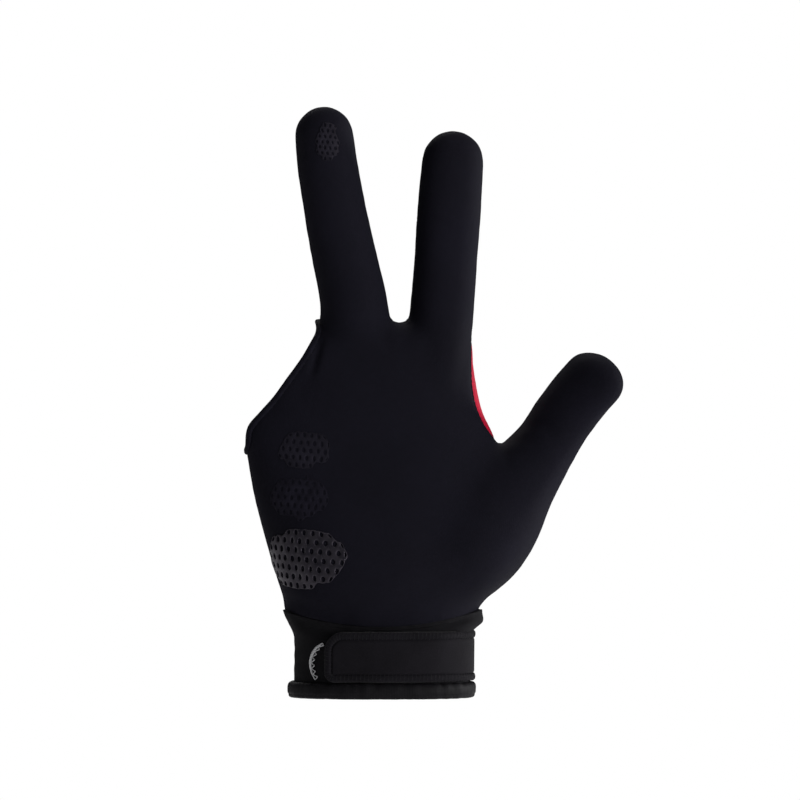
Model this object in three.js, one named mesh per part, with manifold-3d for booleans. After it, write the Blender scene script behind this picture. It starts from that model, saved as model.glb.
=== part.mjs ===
// A three-finger billiard glove for the right hand, filled out as a hand fills it.
// Millimetres. The palm faces -Y, the fingers point up +Z and the thumb lies towards +X.
// The origin is the centre of the mouth that the wrist goes in by.
import * as THREE from "three";
import { mergeVertices } from "three/addons/utils/BufferGeometryUtils.js";
import Module from "manifold-3d";

const wasm = await Module();
wasm.setup();

// Cloth and clearances
const skinWall = 1.2;
const seatGap = 0.3;

// Wrist, cuff and hem
const wristWidth = 59.6;
const wristDepth = 42;
const cuffHeight = 30.5;
const cuffProud = 0.8;
const cuffWall = 2.2;
const cuffDip = 5.5;
const hemHeight = 5.6;
const hemThickness = 4;
const hemProud = 3.2;
const hemRounding = 1.7;

// Palm
const palmRise = 100.8;
const palmWidth = 93.4;
const palmDepth = 46;
const crownHeight = 11;
const palmRoundness = 2.4;

// Fingers and thumb: lean is in degrees, positive towards the thumb's side
const middle = { width: 22.8, depth: 20, length: 76.2, lean: -9.3, tip: 10.5 };
const indexFinger = { width: 22.5, depth: 19.6, length: 67, lean: 4.1, tip: 11 };
const thumb = { width: 22, depth: 20, length: 91, lean: 36.3, tip: 9 };
const digitRoundness = 2.1;

// How far the filled glove curls towards its palm
const fingerCurl = 9;
const thumbForward = 12;

// The edge that the ring and little fingers leave by
const bindingWidth = 2.4;
const bindingProud = 0.8;

// Closure strap and its hook patch: it runs from its root behind the thumb's side to its reach in front
const strapHeight = 17.8;
const strapThickness = 1.6;
const strapReach = 19;
const strapRoot = 12;
const strapCorner = 6.5;
const patchThickness = 1.2;
const patchLength = 22;
const patchMargin = 2.6;

// Red side panel between the index finger and the thumb
const gussetBulge = 12;

// Grip pads: a printed lattice
const padThickness = 0.8;
const latticePitch = 3.9;
const holeRadius = 1.1;
const latticeRim = 2;

// Reach of a cutting block past the glove
const beyond = 120;

// Sections of the wrist: at is a share of cuffHeight, left and right are shares of wristWidth,
// front and back of wristDepth
const wristRows = [
  { at: -0.07, left: 0.5, right: 0.5, front: 0.5, back: 0.5 },
  { at: 0.79, left: 0.5, right: 0.5, front: 0.5, back: 0.5 },
  { at: 0.845, left: 0.518, right: 0.572, front: 0.51, back: 0.498 },
  { at: 0.93, left: 0.545, right: 0.575, front: 0.516, back: 0.49 },
];

// Sections of the palm: at is a share of palmRise above the cuff, left and right are shares of palmWidth,
// front and back of palmDepth
const palmRows = [
  { at: 0.0, left: 0.365, right: 0.36, front: 0.478, back: 0.435 },
  { at: 0.035, left: 0.368, right: 0.388, front: 0.491, back: 0.422 },
  { at: 0.105, left: 0.389, right: 0.412, front: 0.5, back: 0.4 },
  { at: 0.175, left: 0.414, right: 0.428, front: 0.491, back: 0.378 },
  { at: 0.275, left: 0.445, right: 0.439, front: 0.452, back: 0.357 },
  { at: 0.39, left: 0.476, right: 0.444, front: 0.4, back: 0.343 },
  { at: 0.52, left: 0.502, right: 0.444, front: 0.352, back: 0.33 },
  { at: 0.6, left: 0.512, right: 0.425, front: 0.326, back: 0.324 },
  { at: 0.68, left: 0.51, right: 0.382, front: 0.309, back: 0.32 },
  { at: 0.77, left: 0.485, right: 0.358, front: 0.296, back: 0.313 },
  { at: 0.86, left: 0.42, right: 0.345, front: 0.283, back: 0.302 },
];

// Sections of the digits: at is a share of length from the root, half and aside are shares of width,
// front and back of depth
const indexRows = [
  { at: -0.55, half: 0.44, aside: 0, front: 0.5, back: 0.5 },
  { at: -0.35, half: 0.48, aside: 0, front: 0.62, back: 0.64 },
  { at: -0.18, half: 0.5, aside: 0, front: 0.625, back: 0.65 },
  { at: -0.05, half: 0.505, aside: 0, front: 0.585, back: 0.605 },
  { at: 0.08, half: 0.508, aside: 0, front: 0.54, back: 0.55 },
  { at: 0.25, half: 0.5, aside: 0, front: 0.51, back: 0.52 },
  { at: 0.5, half: 0.505, aside: 0, front: 0.495, back: 0.5 },
  { at: 0.72, half: 0.5, aside: 0, front: 0.475, back: 0.475 },
];
const indexTip = { half: 0.49, aside: 0, front: 0.455, back: 0.44 };

const middleRows = [
  { at: -0.48, half: 0.44, aside: 0, front: 0.5, back: 0.5 },
  { at: -0.3, half: 0.48, aside: 0, front: 0.61, back: 0.63 },
  { at: -0.15, half: 0.505, aside: 0, front: 0.615, back: 0.64 },
  { at: -0.03, half: 0.55, aside: -0.03, front: 0.58, back: 0.6 },
  { at: 0.12, half: 0.522, aside: 0, front: 0.54, back: 0.55 },
  { at: 0.29, half: 0.507, aside: -0.028, front: 0.51, back: 0.52 },
  { at: 0.5, half: 0.486, aside: -0.053, front: 0.495, back: 0.5 },
  { at: 0.73, half: 0.474, aside: -0.057, front: 0.475, back: 0.475 },
];
const middleTip = { half: 0.46, aside: -0.035, front: 0.455, back: 0.44 };

const thumbRows = [
  { at: -0.1, half: 0.6, aside: 0, front: 0.9, back: 0.66 },
  { at: 0.0, half: 0.73, aside: 0.01, front: 1.06, back: 0.7 },
  { at: 0.1, half: 0.785, aside: 0.055, front: 1.11, back: 0.68 },
  { at: 0.2, half: 0.785, aside: 0.065, front: 1.06, back: 0.65 },
  { at: 0.3, half: 0.735, aside: 0.055, front: 0.94, back: 0.62 },
  { at: 0.4, half: 0.655, aside: 0.02, front: 0.83, back: 0.6 },
  { at: 0.5, half: 0.573, aside: 0.02, front: 0.72, back: 0.57 },
  { at: 0.6, half: 0.51, aside: 0.02, front: 0.63, back: 0.54 },
  { at: 0.7, half: 0.5, aside: -0.02, front: 0.57, back: 0.51 },
  { at: 0.81, half: 0.5, aside: -0.015, front: 0.52, back: 0.49 },
];
const thumbTip = { half: 0.5, aside: 0.015, front: 0.49, back: 0.46 };

// Where the digits' roots, the opening's edge and the red panel lie: side is a share of half of palmWidth,
// up of palmRise above the cuff
const roots = {
  index: { side: 0.447, up: 1 },
  middle: { side: -0.184, up: 1 },
  thumb: { side: 0.542, up: 0.147 },
};
const openingTop = { side: -0.462, up: 0.98 };
const openingFoot = { side: -1.14, up: 0.55 };
const gusset = { top: 0.98, foot: 0.592, widest: 0.654, reach: 0.92 };
// The palm's crown reaches out to this share of the index finger's width from its middle
const crownShare = 0.47;

// Grip pads: side and up as above, wide and high are their half sizes in the same shares, and turn is degrees
// from the front towards the little finger's side
const palmPads = [
  { name: "grip_pad_lower", side: -0.306, up: 0.18, turn: 40, wide: 0.347, high: 0.109 },
  { name: "grip_pad_middle", side: -0.42, up: 0.388, turn: 30, wide: 0.248, high: 0.079 },
  { name: "grip_pad_upper", side: -0.482, up: 0.555, turn: 20, wide: 0.208, high: 0.069 },
];
// The fingertip's pad: at and high are shares of the middle finger's length, wide of its width
const fingertipPad = { name: "grip_pad_fingertip", at: 0.83, wide: 0.21, high: 0.102 };

// Facets round each form, and the angles of the rings that close a crown or a tip
const bodySides = 32;
const digitSides = 16;
const wristSides = 32;
const crownSteps = [27, 52, 74];
const tipSteps = [24, 47, 70];
const arcSides = 10;
const padSides = 24;
const hemSteps = 2;

const across = (share) => (share * palmWidth) / 2;
const above = (share) => cuffHeight + share * palmRise;
const radians = THREE.MathUtils.degToRad;

// Point on a superellipse with its own reach to each side: x to the right, y to the back.
function superPoint(turn, { left, right, front, back }, roundness) {
  const c = Math.cos(turn);
  const s = Math.sin(turn);
  const power = 2 / roundness;
  return [
    Math.sign(c) * Math.abs(c) ** power * (c > 0 ? right : left),
    Math.sign(s) * Math.abs(s) ** power * (s > 0 ? back : front),
  ];
}

function grown(section, offset) {
  const { left, right, front, back } = section;
  return {
    ...section,
    left: left + offset,
    right: right + offset,
    front: front + offset,
    back: back + offset,
  };
}

// Closed surface through sections that lie square to their own axes. It ends in the last one's apex.
function loft(sections, sides, roundness) {
  const positions = [];
  const faces = [];
  for (const section of sections) {
    for (let k = 0; k < sides; k++) {
      const [u, v] = superPoint((2 * Math.PI * k) / sides, section, roundness);
      const { x, z, lean } = section;
      positions.push(x + u * Math.cos(lean), v, z - u * Math.sin(lean));
    }
  }
  const rings = sections.length;
  for (let r = 0; r + 1 < rings; r++) {
    for (let k = 0; k < sides; k++) {
      const a = r * sides + k;
      const b = r * sides + ((k + 1) % sides);
      faces.push(a, b, b + sides, a, b + sides, a + sides);
    }
  }
  const ends = [sections[0], sections[rings - 1].apex].map(({ x, z }) => {
    positions.push(x, 0, z);
    return positions.length / 3 - 1;
  });
  const lastRing = (rings - 1) * sides;
  for (let k = 0; k < sides; k++) {
    const next = (k + 1) % sides;
    faces.push(ends[0], next, k, ends[1], lastRing + k, lastRing + next);
  }
  const geometry = new THREE.BufferGeometry();
  geometry.setAttribute("position", new THREE.Float32BufferAttribute(positions, 3));
  geometry.setIndex(faces);
  return geometry;
}

function solidOf(geometry) {
  const plain = new THREE.BufferGeometry();
  plain.setAttribute("position", geometry.getAttribute("position").clone());
  if (geometry.index) plain.setIndex(geometry.index.clone());
  const merged = mergeVertices(plain, 1e-4);
  const mesh = new wasm.Mesh({
    numProp: 3,
    vertProperties: merged.getAttribute("position").array,
    triVerts: new Uint32Array(merged.index.array),
  });
  return new wasm.Manifold(mesh);
}

function geometryOf(solid) {
  const mesh = solid.getMesh();
  const geometry = new THREE.BufferGeometry();
  geometry.setAttribute("position", new THREE.BufferAttribute(mesh.vertProperties, 3));
  geometry.setIndex(new THREE.BufferAttribute(mesh.triVerts, 1));
  return geometry;
}

// The wrist and palm in one, closed by a rounded crown between the fingers.
function bodySections(offset) {
  const wrist = wristRows.map(({ at, left, right, front, back }) => ({
    z: cuffHeight * at,
    left: wristWidth * left,
    right: wristWidth * right,
    front: wristDepth * front,
    back: wristDepth * back,
  }));
  const palm = palmRows.map(({ at, left, right, front, back }) => ({
    z: above(at),
    left: palmWidth * left,
    right: palmWidth * right,
    front: palmDepth * front,
    back: palmDepth * back,
  }));
  const shoulder = palm[palm.length - 1];
  const crownFoot = cuffHeight + palmRise - crownHeight;
  const crownLeft = across(Math.abs(openingTop.side)) + skinWall;
  const crownRight = across(roots.index.side) + indexFinger.width * crownShare;
  const crown = crownSteps.map((degrees) => {
    const climb = Math.sin(radians(degrees));
    const shrink = Math.cos(radians(degrees));
    return {
      z: crownFoot + (crownHeight + offset) * climb,
      left: THREE.MathUtils.lerp(shoulder.left, crownLeft, climb),
      right: THREE.MathUtils.lerp(shoulder.right, crownRight, climb),
      front: (shoulder.front + offset) * shrink - offset,
      back: (shoulder.back + offset) * shrink - offset,
      apex: { x: 0, z: crownFoot + crownHeight + offset },
    };
  });
  return [...wrist, ...palm, ...crown].map((row) => ({ x: 0, lean: 0, ...grown(row, offset) }));
}

// A finger or the thumb, closed by a rounded tip.
function digitSections(digit, root, rows, tip, offset) {
  const lean = radians(digit.lean);
  const at = (along, aside) => ({
    x: across(root.side) + along * Math.sin(lean) + aside * Math.cos(lean),
    z: above(root.up) + along * Math.cos(lean) - aside * Math.sin(lean),
    lean,
  });
  const tube = rows.map(({ at: share, half, aside, front, back }) => ({
    ...at(share * digit.length, aside * digit.width),
    left: half * digit.width + offset,
    right: half * digit.width + offset,
    front: front * digit.depth + offset,
    back: back * digit.depth + offset,
  }));
  const cap = [0, ...tipSteps].map((degrees) => {
    const climb = Math.sin(radians(degrees));
    const shrink = Math.cos(radians(degrees));
    const along = digit.length - digit.tip + (digit.tip + offset) * climb;
    return {
      ...at(along, tip.aside * digit.width),
      left: (tip.half * digit.width + offset) * shrink,
      right: (tip.half * digit.width + offset) * shrink,
      front: (tip.front * digit.depth + offset) * shrink,
      back: (tip.back * digit.depth + offset) * shrink,
      apex: at(digit.length + offset, tip.aside * digit.width),
    };
  });
  return [...tube, ...cap];
}

const digitSolid = (...form) => solidOf(loft(digitSections(...form), digitSides, digitRoundness));
const indexForm = (offset) => digitSolid(indexFinger, roots.index, indexRows, indexTip, offset);
const middleForm = (offset) => digitSolid(middle, roots.middle, middleRows, middleTip, offset);
const thumbForm = (offset) => digitSolid(thumb, roots.thumb, thumbRows, thumbTip, offset);

// The whole hand's form, grown or shrunk by an offset.
const handForms = new Map();
function hand(offset) {
  if (!handForms.has(offset)) {
    const body = solidOf(loft(bodySections(offset), bodySides, palmRoundness));
    const digits = [indexForm(offset), middleForm(offset), thumbForm(offset)];
    handForms.set(offset, digits.reduce((sum, digit) => sum.add(digit), body));
  }
  return handForms.get(offset);
}

const shell = (outside, inside) => hand(outside).subtract(hand(inside));

// A block whose outline is drawn in the front view, from one depth to another.
function block(shape, yFrom, yTo) {
  const geometry = new THREE.ExtrudeGeometry(shape, {
    depth: yTo - yFrom,
    bevelEnabled: false,
    curveSegments: arcSides,
  });
  geometry.rotateX(Math.PI / 2);
  geometry.translate(0, yTo, 0);
  return solidOf(geometry);
}

// All that is below the seam of cuff and palm, which dips at the middle.
function belowSeam(lift) {
  const reach = beyond / 2;
  const halfWrist = palmWidth * palmRows[0].left;
  const low = cuffHeight - cuffDip + lift;
  const rise = cuffDip * (reach / halfWrist) ** 2;
  const shape = new THREE.Shape();
  shape.moveTo(-reach, -beyond);
  shape.lineTo(reach, -beyond);
  shape.lineTo(reach, low + rise);
  shape.quadraticCurveTo(0, low - rise, -reach, low + rise);
  return block(shape, -beyond, beyond);
}

// The slanted edge that the ring and little fingers leave by, moved into the palm by an inset.
function openingEdge(inset) {
  const top = new THREE.Vector2(across(openingTop.side), above(openingTop.up));
  const foot = new THREE.Vector2(across(openingFoot.side), above(openingFoot.up));
  const slope = foot.clone().sub(top).normalize();
  const inward = new THREE.Vector2(-slope.y, slope.x);
  const fingerSide = new THREE.Vector2(0, 1).rotateAround(new THREE.Vector2(), -radians(middle.lean));
  const start = top.clone().addScaledVector(fingerSide, inset / fingerSide.dot(inward));
  return {
    start,
    climb: start.clone().addScaledVector(fingerSide, beyond),
    end: start.clone().addScaledVector(slope, beyond / 2),
  };
}

// All beyond that edge, up to the middle finger's side.
function ringSide(inset) {
  const { start, climb, end } = openingEdge(inset);
  const shape = new THREE.Shape([
    start,
    climb,
    new THREE.Vector2(-beyond, climb.y),
    new THREE.Vector2(-beyond, end.y),
    end,
  ]);
  return block(shape, -beyond, beyond);
}

// The red side panel's lens, seen from the thumb's side.
function gussetLens(clearance) {
  const top = above(gusset.top) + clearance;
  const foot = above(gusset.foot) - clearance;
  const widest = above(gusset.widest);
  const bulge = gussetBulge + 2 * clearance;
  const shape = new THREE.Shape();
  shape.moveTo(0, top);
  shape.quadraticCurveTo(-bulge, widest, 0, foot);
  shape.quadraticCurveTo(bulge, widest, 0, top);
  const geometry = new THREE.ExtrudeGeometry(shape, {
    depth: across(gusset.reach - roots.index.side),
    bevelEnabled: false,
    curveSegments: arcSides,
  });
  // The drawing's x becomes depth and its y becomes height, and the block runs towards the thumb.
  geometry.applyMatrix4(
    new THREE.Matrix4().makeBasis(
      new THREE.Vector3(0, 1, 0),
      new THREE.Vector3(0, 0, 1),
      new THREE.Vector3(1, 0, 0),
    ),
  );
  geometry.translate(across(roots.index.side), 0, 0);
  return solidOf(geometry).subtract(thumbForm(seatGap - clearance));
}

function halfSpace(front) {
  const box = new THREE.BoxGeometry(2 * beyond, beyond, 4 * beyond);
  const shift = (beyond + seatGap) / 2;
  box.translate(0, front ? -shift : shift, 0);
  return solidOf(box);
}

const skin = shell(0, -skinWall)
  .subtract(belowSeam(seatGap / 2))
  .subtract(ringSide(bindingWidth + seatGap));

function skinPanel(front) {
  return skin.intersect(halfSpace(front)).subtract(gussetLens(seatGap));
}

function webGusset() {
  return skin.intersect(gussetLens(0));
}

function fingerBinding() {
  const outer = openingEdge(0);
  const inner = openingEdge(bindingWidth);
  const strip = new THREE.Shape([outer.start, outer.end, inner.end, inner.start]);
  return shell(bindingProud, -skinWall - bindingProud).intersect(block(strip, -beyond, beyond));
}

function wristCuff() {
  const floor = new THREE.BoxGeometry(beyond, beyond, beyond);
  floor.translate(0, 0, hemHeight + seatGap - beyond / 2);
  return shell(cuffProud, cuffProud - cuffWall)
    .intersect(belowSeam(-seatGap / 2))
    .subtract(solidOf(floor));
}

// A point of the wrist's outline grown by a distance.
function wristPoint(turn, growth) {
  const wrist = { left: wristWidth / 2, right: wristWidth / 2, front: wristDepth / 2, back: wristDepth / 2 };
  return superPoint(turn, grown(wrist, growth), palmRoundness);
}

// The wrist's outline grown by a distance, which may change round it.
function wristOutline(growth) {
  return Array.from({ length: wristSides }, (_, k) => {
    const turn = (2 * Math.PI * k) / wristSides;
    return new THREE.Vector2(...wristPoint(turn, typeof growth === "function" ? growth(turn) : growth));
  });
}

function cuffHem() {
  const shape = new THREE.Shape(wristOutline(hemProud - hemRounding));
  shape.holes.push(new THREE.Path(wristOutline(hemProud - hemThickness + hemRounding)));
  const geometry = new THREE.ExtrudeGeometry(shape, {
    depth: hemHeight - 2 * hemRounding,
    bevelThickness: hemRounding,
    bevelSize: hemRounding,
    bevelSegments: hemSteps,
  });
  geometry.translate(0, 0, hemRounding);
  return solidOf(geometry);
}

const strapBottom = hemHeight + seatGap;
const strapTop = strapBottom + strapHeight;
const patchFrom = patchMargin - strapReach;
const patchTo = patchFrom + patchLength;

// How far the strap's inner face stands off the wrist: over the hook patch in front, and close to the cuff
// at the thumb's side and behind. A facet that the patch's end lies under keeps its full stand-off.
function strapStandOff(turn) {
  const facet = (2 * Math.PI) / wristSides;
  const [side] = wristPoint(turn - facet, 0);
  const inFront = Math.sin(turn) < -0.001;
  const lift = inFront ? 1 - THREE.MathUtils.smoothstep(side, patchTo, wristWidth / 2) : 0;
  return cuffProud + seatGap + (patchThickness + seatGap) * lift;
}

// A band round the wrist between two stand-offs, of the strap's height.
function wristBand(inside, outside, bottom, height) {
  const shape = new THREE.Shape(wristOutline(outside));
  shape.holes.push(new THREE.Path(wristOutline(inside)));
  const geometry = new THREE.ExtrudeGeometry(shape, { depth: height, bevelEnabled: false });
  geometry.translate(0, 0, bottom);
  return solidOf(geometry);
}

// The free end is rounded, and the root is sewn down behind the thumb's side.
function strap() {
  const band = wristBand(
    strapStandOff,
    (turn) => strapStandOff(turn) + strapThickness,
    strapBottom,
    strapHeight,
  );
  const face = new THREE.Shape();
  face.moveTo(beyond, strapBottom - seatGap);
  face.lineTo(beyond, strapTop + seatGap);
  face.lineTo(strapCorner - strapReach, strapTop + seatGap);
  face.lineTo(strapCorner - strapReach, strapTop);
  face.quadraticCurveTo(-strapReach, strapTop, -strapReach, strapTop - strapCorner);
  face.lineTo(-strapReach, strapBottom + strapCorner / 2);
  face.quadraticCurveTo(-strapReach, strapBottom, strapCorner / 2 - strapReach, strapBottom);
  face.lineTo(strapCorner / 2 - strapReach, strapBottom - seatGap);
  const rear = new THREE.BoxGeometry(beyond, beyond, beyond);
  rear.translate(strapRoot + beyond / 2, beyond / 2 - seatGap, 0);
  return band.intersect(block(face, -beyond, 0).add(solidOf(rear)));
}

function hookPatch() {
  const inner = cuffProud + seatGap;
  const bottom = strapBottom + patchMargin;
  const height = strapHeight - 2 * patchMargin;
  const face = new THREE.BoxGeometry(patchLength, beyond, beyond);
  face.translate((patchFrom + patchTo) / 2, -beyond / 2, 0);
  return wristBand(inner, inner + patchThickness, bottom, height).intersect(solidOf(face));
}

// A bar from the glove's middle out through its front, its level direction turned from straight ahead.
function bar(geometry, { x, z, turn }) {
  geometry.translate(0, -beyond / 4, 0);
  geometry.rotateZ(-radians(turn));
  geometry.translate(x, 0, z);
  return solidOf(geometry);
}

// An oval sheet on the skin, cut through by rows of six-sided holes.
function gripPad(pad) {
  const { halfWidth, halfHeight } = pad;
  const outline = new THREE.CylinderGeometry(1, 1, beyond / 2, padSides);
  outline.scale(halfWidth, 1, halfHeight);
  const rowPitch = latticePitch * Math.sin(Math.PI / 3);
  const rows = Math.ceil(halfHeight / rowPitch);
  const columns = Math.ceil(halfWidth / latticePitch);
  const holes = [];
  for (let row = -rows; row <= rows; row++) {
    for (let column = -columns; column <= columns; column++) {
      const u = (column + (row % 2 ? 0.5 : 0)) * latticePitch;
      const v = row * rowPitch;
      const reach = Math.hypot(u / (halfWidth - latticeRim), v / (halfHeight - latticeRim));
      if (reach < 1) {
        const hole = new THREE.CylinderGeometry(holeRadius, holeRadius, beyond / 2, 6);
        hole.translate(u, 0, v);
        holes.push(bar(hole, pad));
      }
    }
  }
  const sheet = shell(seatGap + padThickness, seatGap).intersect(bar(outline, pad));
  return holes.reduce((left, hole) => left.subtract(hole), sheet);
}

// The filled glove's fingers curl, and its thumb comes forward, towards the palm's side.
function relax(geometry) {
  const position = geometry.getAttribute("position");
  const knuckle = above(0.88);
  const reach = above(1) + middle.length - knuckle;
  const thumbRoot = across(0.86);
  const thumbReach = across(roots.thumb.side) + thumb.length * Math.sin(radians(thumb.lean)) - thumbRoot;
  for (let i = 0; i < position.count; i++) {
    const climb = Math.max(0, position.getZ(i) - knuckle) / reach;
    const out = Math.max(0, position.getX(i) - thumbRoot) / thumbReach;
    position.setY(i, position.getY(i) - fingerCurl * climb ** 2 - thumbForward * out ** 2);
  }
  geometry.computeVertexNormals();
  return geometry;
}

function cloth(color, roughness) {
  return new THREE.MeshStandardMaterial({ color, roughness, metalness: 0 });
}

const finishes = {
  palmCloth: cloth(0x15151a, 0.7),
  backCloth: cloth(0x131318, 0.7),
  red: cloth(0xb01030, 0.6),
  elastic: cloth(0x101013, 0.8),
  cuffCloth: cloth(0x17171b, 0.85),
  grip: cloth(0x3c3c42, 0.4),
  hook: cloth(0x0c0c0e, 0.9),
};

const glove = new THREE.Group();

function addPiece(name, solid, finish) {
  const mesh = new THREE.Mesh(relax(geometryOf(solid)), finish);
  mesh.name = name;
  glove.add(mesh);
}

addPiece("palm_panel", skinPanel(true), finishes.palmCloth);
addPiece("back_panel", skinPanel(false), finishes.backCloth);
addPiece("web_gusset", webGusset(), finishes.red);
addPiece("finger_opening_binding", fingerBinding(), finishes.elastic);
addPiece("wrist_cuff", wristCuff(), finishes.cuffCloth);
addPiece("cuff_hem", cuffHem(), finishes.elastic);
addPiece("strap", strap(), finishes.cuffCloth);
addPiece("hook_patch", hookPatch(), finishes.hook);
for (const pad of palmPads) {
  const solid = gripPad({
    x: across(pad.side),
    z: above(pad.up),
    turn: pad.turn,
    halfWidth: across(pad.wide),
    halfHeight: palmRise * pad.high,
  });
  addPiece(pad.name, solid, finishes.grip);
}
const tipLean = radians(middle.lean);
addPiece(
  fingertipPad.name,
  gripPad({
    x: across(roots.middle.side) + fingertipPad.at * middle.length * Math.sin(tipLean),
    z: above(roots.middle.up) + fingertipPad.at * middle.length * Math.cos(tipLean),
    turn: 0,
    halfWidth: middle.width * fingertipPad.wide,
    halfHeight: middle.length * fingertipPad.high,
  }),
  finishes.grip,
);

export default glove;
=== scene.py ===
# A three-finger billiard glove for the right hand, filled out as a hand fills it, dressed round its packed
# solids. Metres. The palm faces -Y, the fingers point up +Z and the thumb lies towards +X.
# Every piece is modelled on a flat, straight hand, and "relaxed" then curls them all by one rule.
import math
from collections import namedtuple

import bmesh
import bpy
from bpy.props import FloatProperty, FloatVectorProperty, PointerProperty
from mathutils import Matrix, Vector, noise
from mathutils.bvhtree import BVHTree


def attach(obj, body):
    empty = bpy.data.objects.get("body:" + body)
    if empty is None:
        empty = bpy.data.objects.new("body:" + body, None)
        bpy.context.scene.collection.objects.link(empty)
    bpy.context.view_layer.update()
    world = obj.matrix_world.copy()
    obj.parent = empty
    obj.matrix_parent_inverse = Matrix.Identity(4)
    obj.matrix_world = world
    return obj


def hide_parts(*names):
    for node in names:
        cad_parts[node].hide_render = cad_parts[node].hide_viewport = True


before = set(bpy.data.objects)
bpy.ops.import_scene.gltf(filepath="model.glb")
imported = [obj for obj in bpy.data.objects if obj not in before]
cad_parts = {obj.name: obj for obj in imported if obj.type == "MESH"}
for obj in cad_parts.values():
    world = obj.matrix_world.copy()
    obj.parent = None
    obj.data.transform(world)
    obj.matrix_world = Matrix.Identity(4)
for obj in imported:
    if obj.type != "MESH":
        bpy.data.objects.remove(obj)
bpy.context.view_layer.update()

bl_info = {
    "name": "Billiard glove",
    "version": (1, 0, 0),
    "blender": (4, 5, 0),
    "location": "View3D > Sidebar > Glove",
    "description": "Builds a three-finger billiard glove piece by piece",
    "category": "Mesh",
}

MM = 0.001
FORM_MESH = "glove_form"

# How finely the form is laid out before it is joined
BODY_SIDES = 96
DIGIT_SIDES = 56
SECTION_STEP = 1.5 * MM
TIP_STEPS = 12
# How often the joined skin is evened: all over, where the digits part, at the thumb's ball, and last of all
ROUNDS_ALL = 6
ROUNDS_PARTING = 26
ROUNDS_BALL = 45
ROUNDS_LAST = 2
# A run of cut edges with fewer points than this is a crumb, not a seam
SHORTEST_RUN = 8
# The strap's spine has a point at every step
SPINE_STEP = 0.5 * MM

# Sections of the wrist: at is a share of the cuff's height, left and right are shares of the wrist's width,
# front and back of its depth. Sections of the palm: the same shares of the palm's rise above the cuff, of its
# width and of its depth.
Row = namedtuple("Row", "at left right front back")
WRIST_ROWS = [
    Row(-0.07, 0.5, 0.5, 0.5, 0.5),
    Row(0.3, 0.5, 0.5, 0.5, 0.5),
    Row(0.6, 0.5, 0.5, 0.5, 0.5),
    Row(0.79, 0.505, 0.51, 0.502, 0.5),
    Row(0.86, 0.522, 0.545, 0.51, 0.498),
    Row(0.93, 0.548, 0.565, 0.516, 0.49),
]
# Where the wrist goes on above its last section
ABOVE_WRIST = Row(1.06, 0.57, 0.573, 0.522, 0.478)
PALM_ROWS = [
    Row(0.0, 0.365, 0.36, 0.478, 0.435),
    Row(0.035, 0.368, 0.388, 0.491, 0.422),
    Row(0.105, 0.389, 0.412, 0.5, 0.4),
    Row(0.175, 0.414, 0.428, 0.491, 0.378),
    Row(0.275, 0.445, 0.439, 0.452, 0.357),
    Row(0.39, 0.476, 0.444, 0.4, 0.343),
    Row(0.52, 0.502, 0.444, 0.352, 0.33),
    Row(0.6, 0.512, 0.425, 0.326, 0.324),
    Row(0.68, 0.51, 0.382, 0.309, 0.32),
    Row(0.77, 0.485, 0.358, 0.296, 0.313),
    Row(0.86, 0.42, 0.345, 0.283, 0.302),
]

# Sections of the digits: at is a share of length from the root, half and aside are shares of width, front and
# back of depth. The last row is the tip's.
DigitRow = namedtuple("DigitRow", "at half aside front back")
INDEX_ROWS = [
    DigitRow(-0.55, 0.44, 0, 0.5, 0.5),
    DigitRow(-0.35, 0.48, 0, 0.62, 0.64),
    DigitRow(-0.18, 0.5, 0, 0.625, 0.65),
    DigitRow(-0.05, 0.505, 0, 0.585, 0.605),
    DigitRow(0.08, 0.508, 0, 0.54, 0.55),
    DigitRow(0.25, 0.5, 0, 0.51, 0.52),
    DigitRow(0.5, 0.505, 0, 0.495, 0.5),
    DigitRow(0.72, 0.5, 0, 0.475, 0.475),
    DigitRow(0.836, 0.49, 0, 0.455, 0.44),
]
MIDDLE_ROWS = [
    DigitRow(-0.48, 0.44, 0, 0.5, 0.5),
    DigitRow(-0.3, 0.48, 0, 0.61, 0.63),
    DigitRow(-0.15, 0.505, 0, 0.615, 0.64),
    DigitRow(-0.03, 0.55, -0.03, 0.58, 0.6),
    DigitRow(0.12, 0.522, 0, 0.54, 0.55),
    DigitRow(0.29, 0.507, -0.028, 0.51, 0.52),
    DigitRow(0.5, 0.486, -0.053, 0.495, 0.5),
    DigitRow(0.73, 0.474, -0.057, 0.475, 0.475),
    DigitRow(0.862, 0.46, -0.035, 0.455, 0.44),
]
THUMB_ROWS = [
    DigitRow(-0.1, 0.6, 0, 0.9, 0.66),
    DigitRow(0.0, 0.73, 0.01, 1.06, 0.7),
    DigitRow(0.1, 0.785, 0.055, 1.11, 0.68),
    DigitRow(0.2, 0.785, 0.065, 1.06, 0.65),
    DigitRow(0.3, 0.735, 0.055, 0.94, 0.62),
    DigitRow(0.4, 0.655, 0.02, 0.83, 0.6),
    DigitRow(0.5, 0.573, 0.02, 0.72, 0.57),
    DigitRow(0.6, 0.51, 0.02, 0.63, 0.54),
    DigitRow(0.7, 0.5, -0.02, 0.57, 0.51),
    DigitRow(0.81, 0.5, -0.015, 0.52, 0.49),
    DigitRow(0.901, 0.5, 0.015, 0.49, 0.46),
]

# Where the digits' roots, the opening's edge and the red panel lie: side is a share of half of the palm's
# width, up of its rise above the cuff
Place = namedtuple("Place", "side up")
INDEX_ROOT = Place(0.447, 1)
MIDDLE_ROOT = Place(-0.184, 1)
THUMB_ROOT = Place(0.542, 0.147)
OPENING_TOP = Place(-0.462, 0.98)
OPENING_FOOT = Place(-1.14, 0.55)
GUSSET_TOP = 0.98
GUSSET_FOOT = 0.592
GUSSET_WIDEST = 0.654
CROWN_SHARE = 0.47
KNUCKLE_UP = 0.88
THUMB_BEND_SIDE = 0.86

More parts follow.
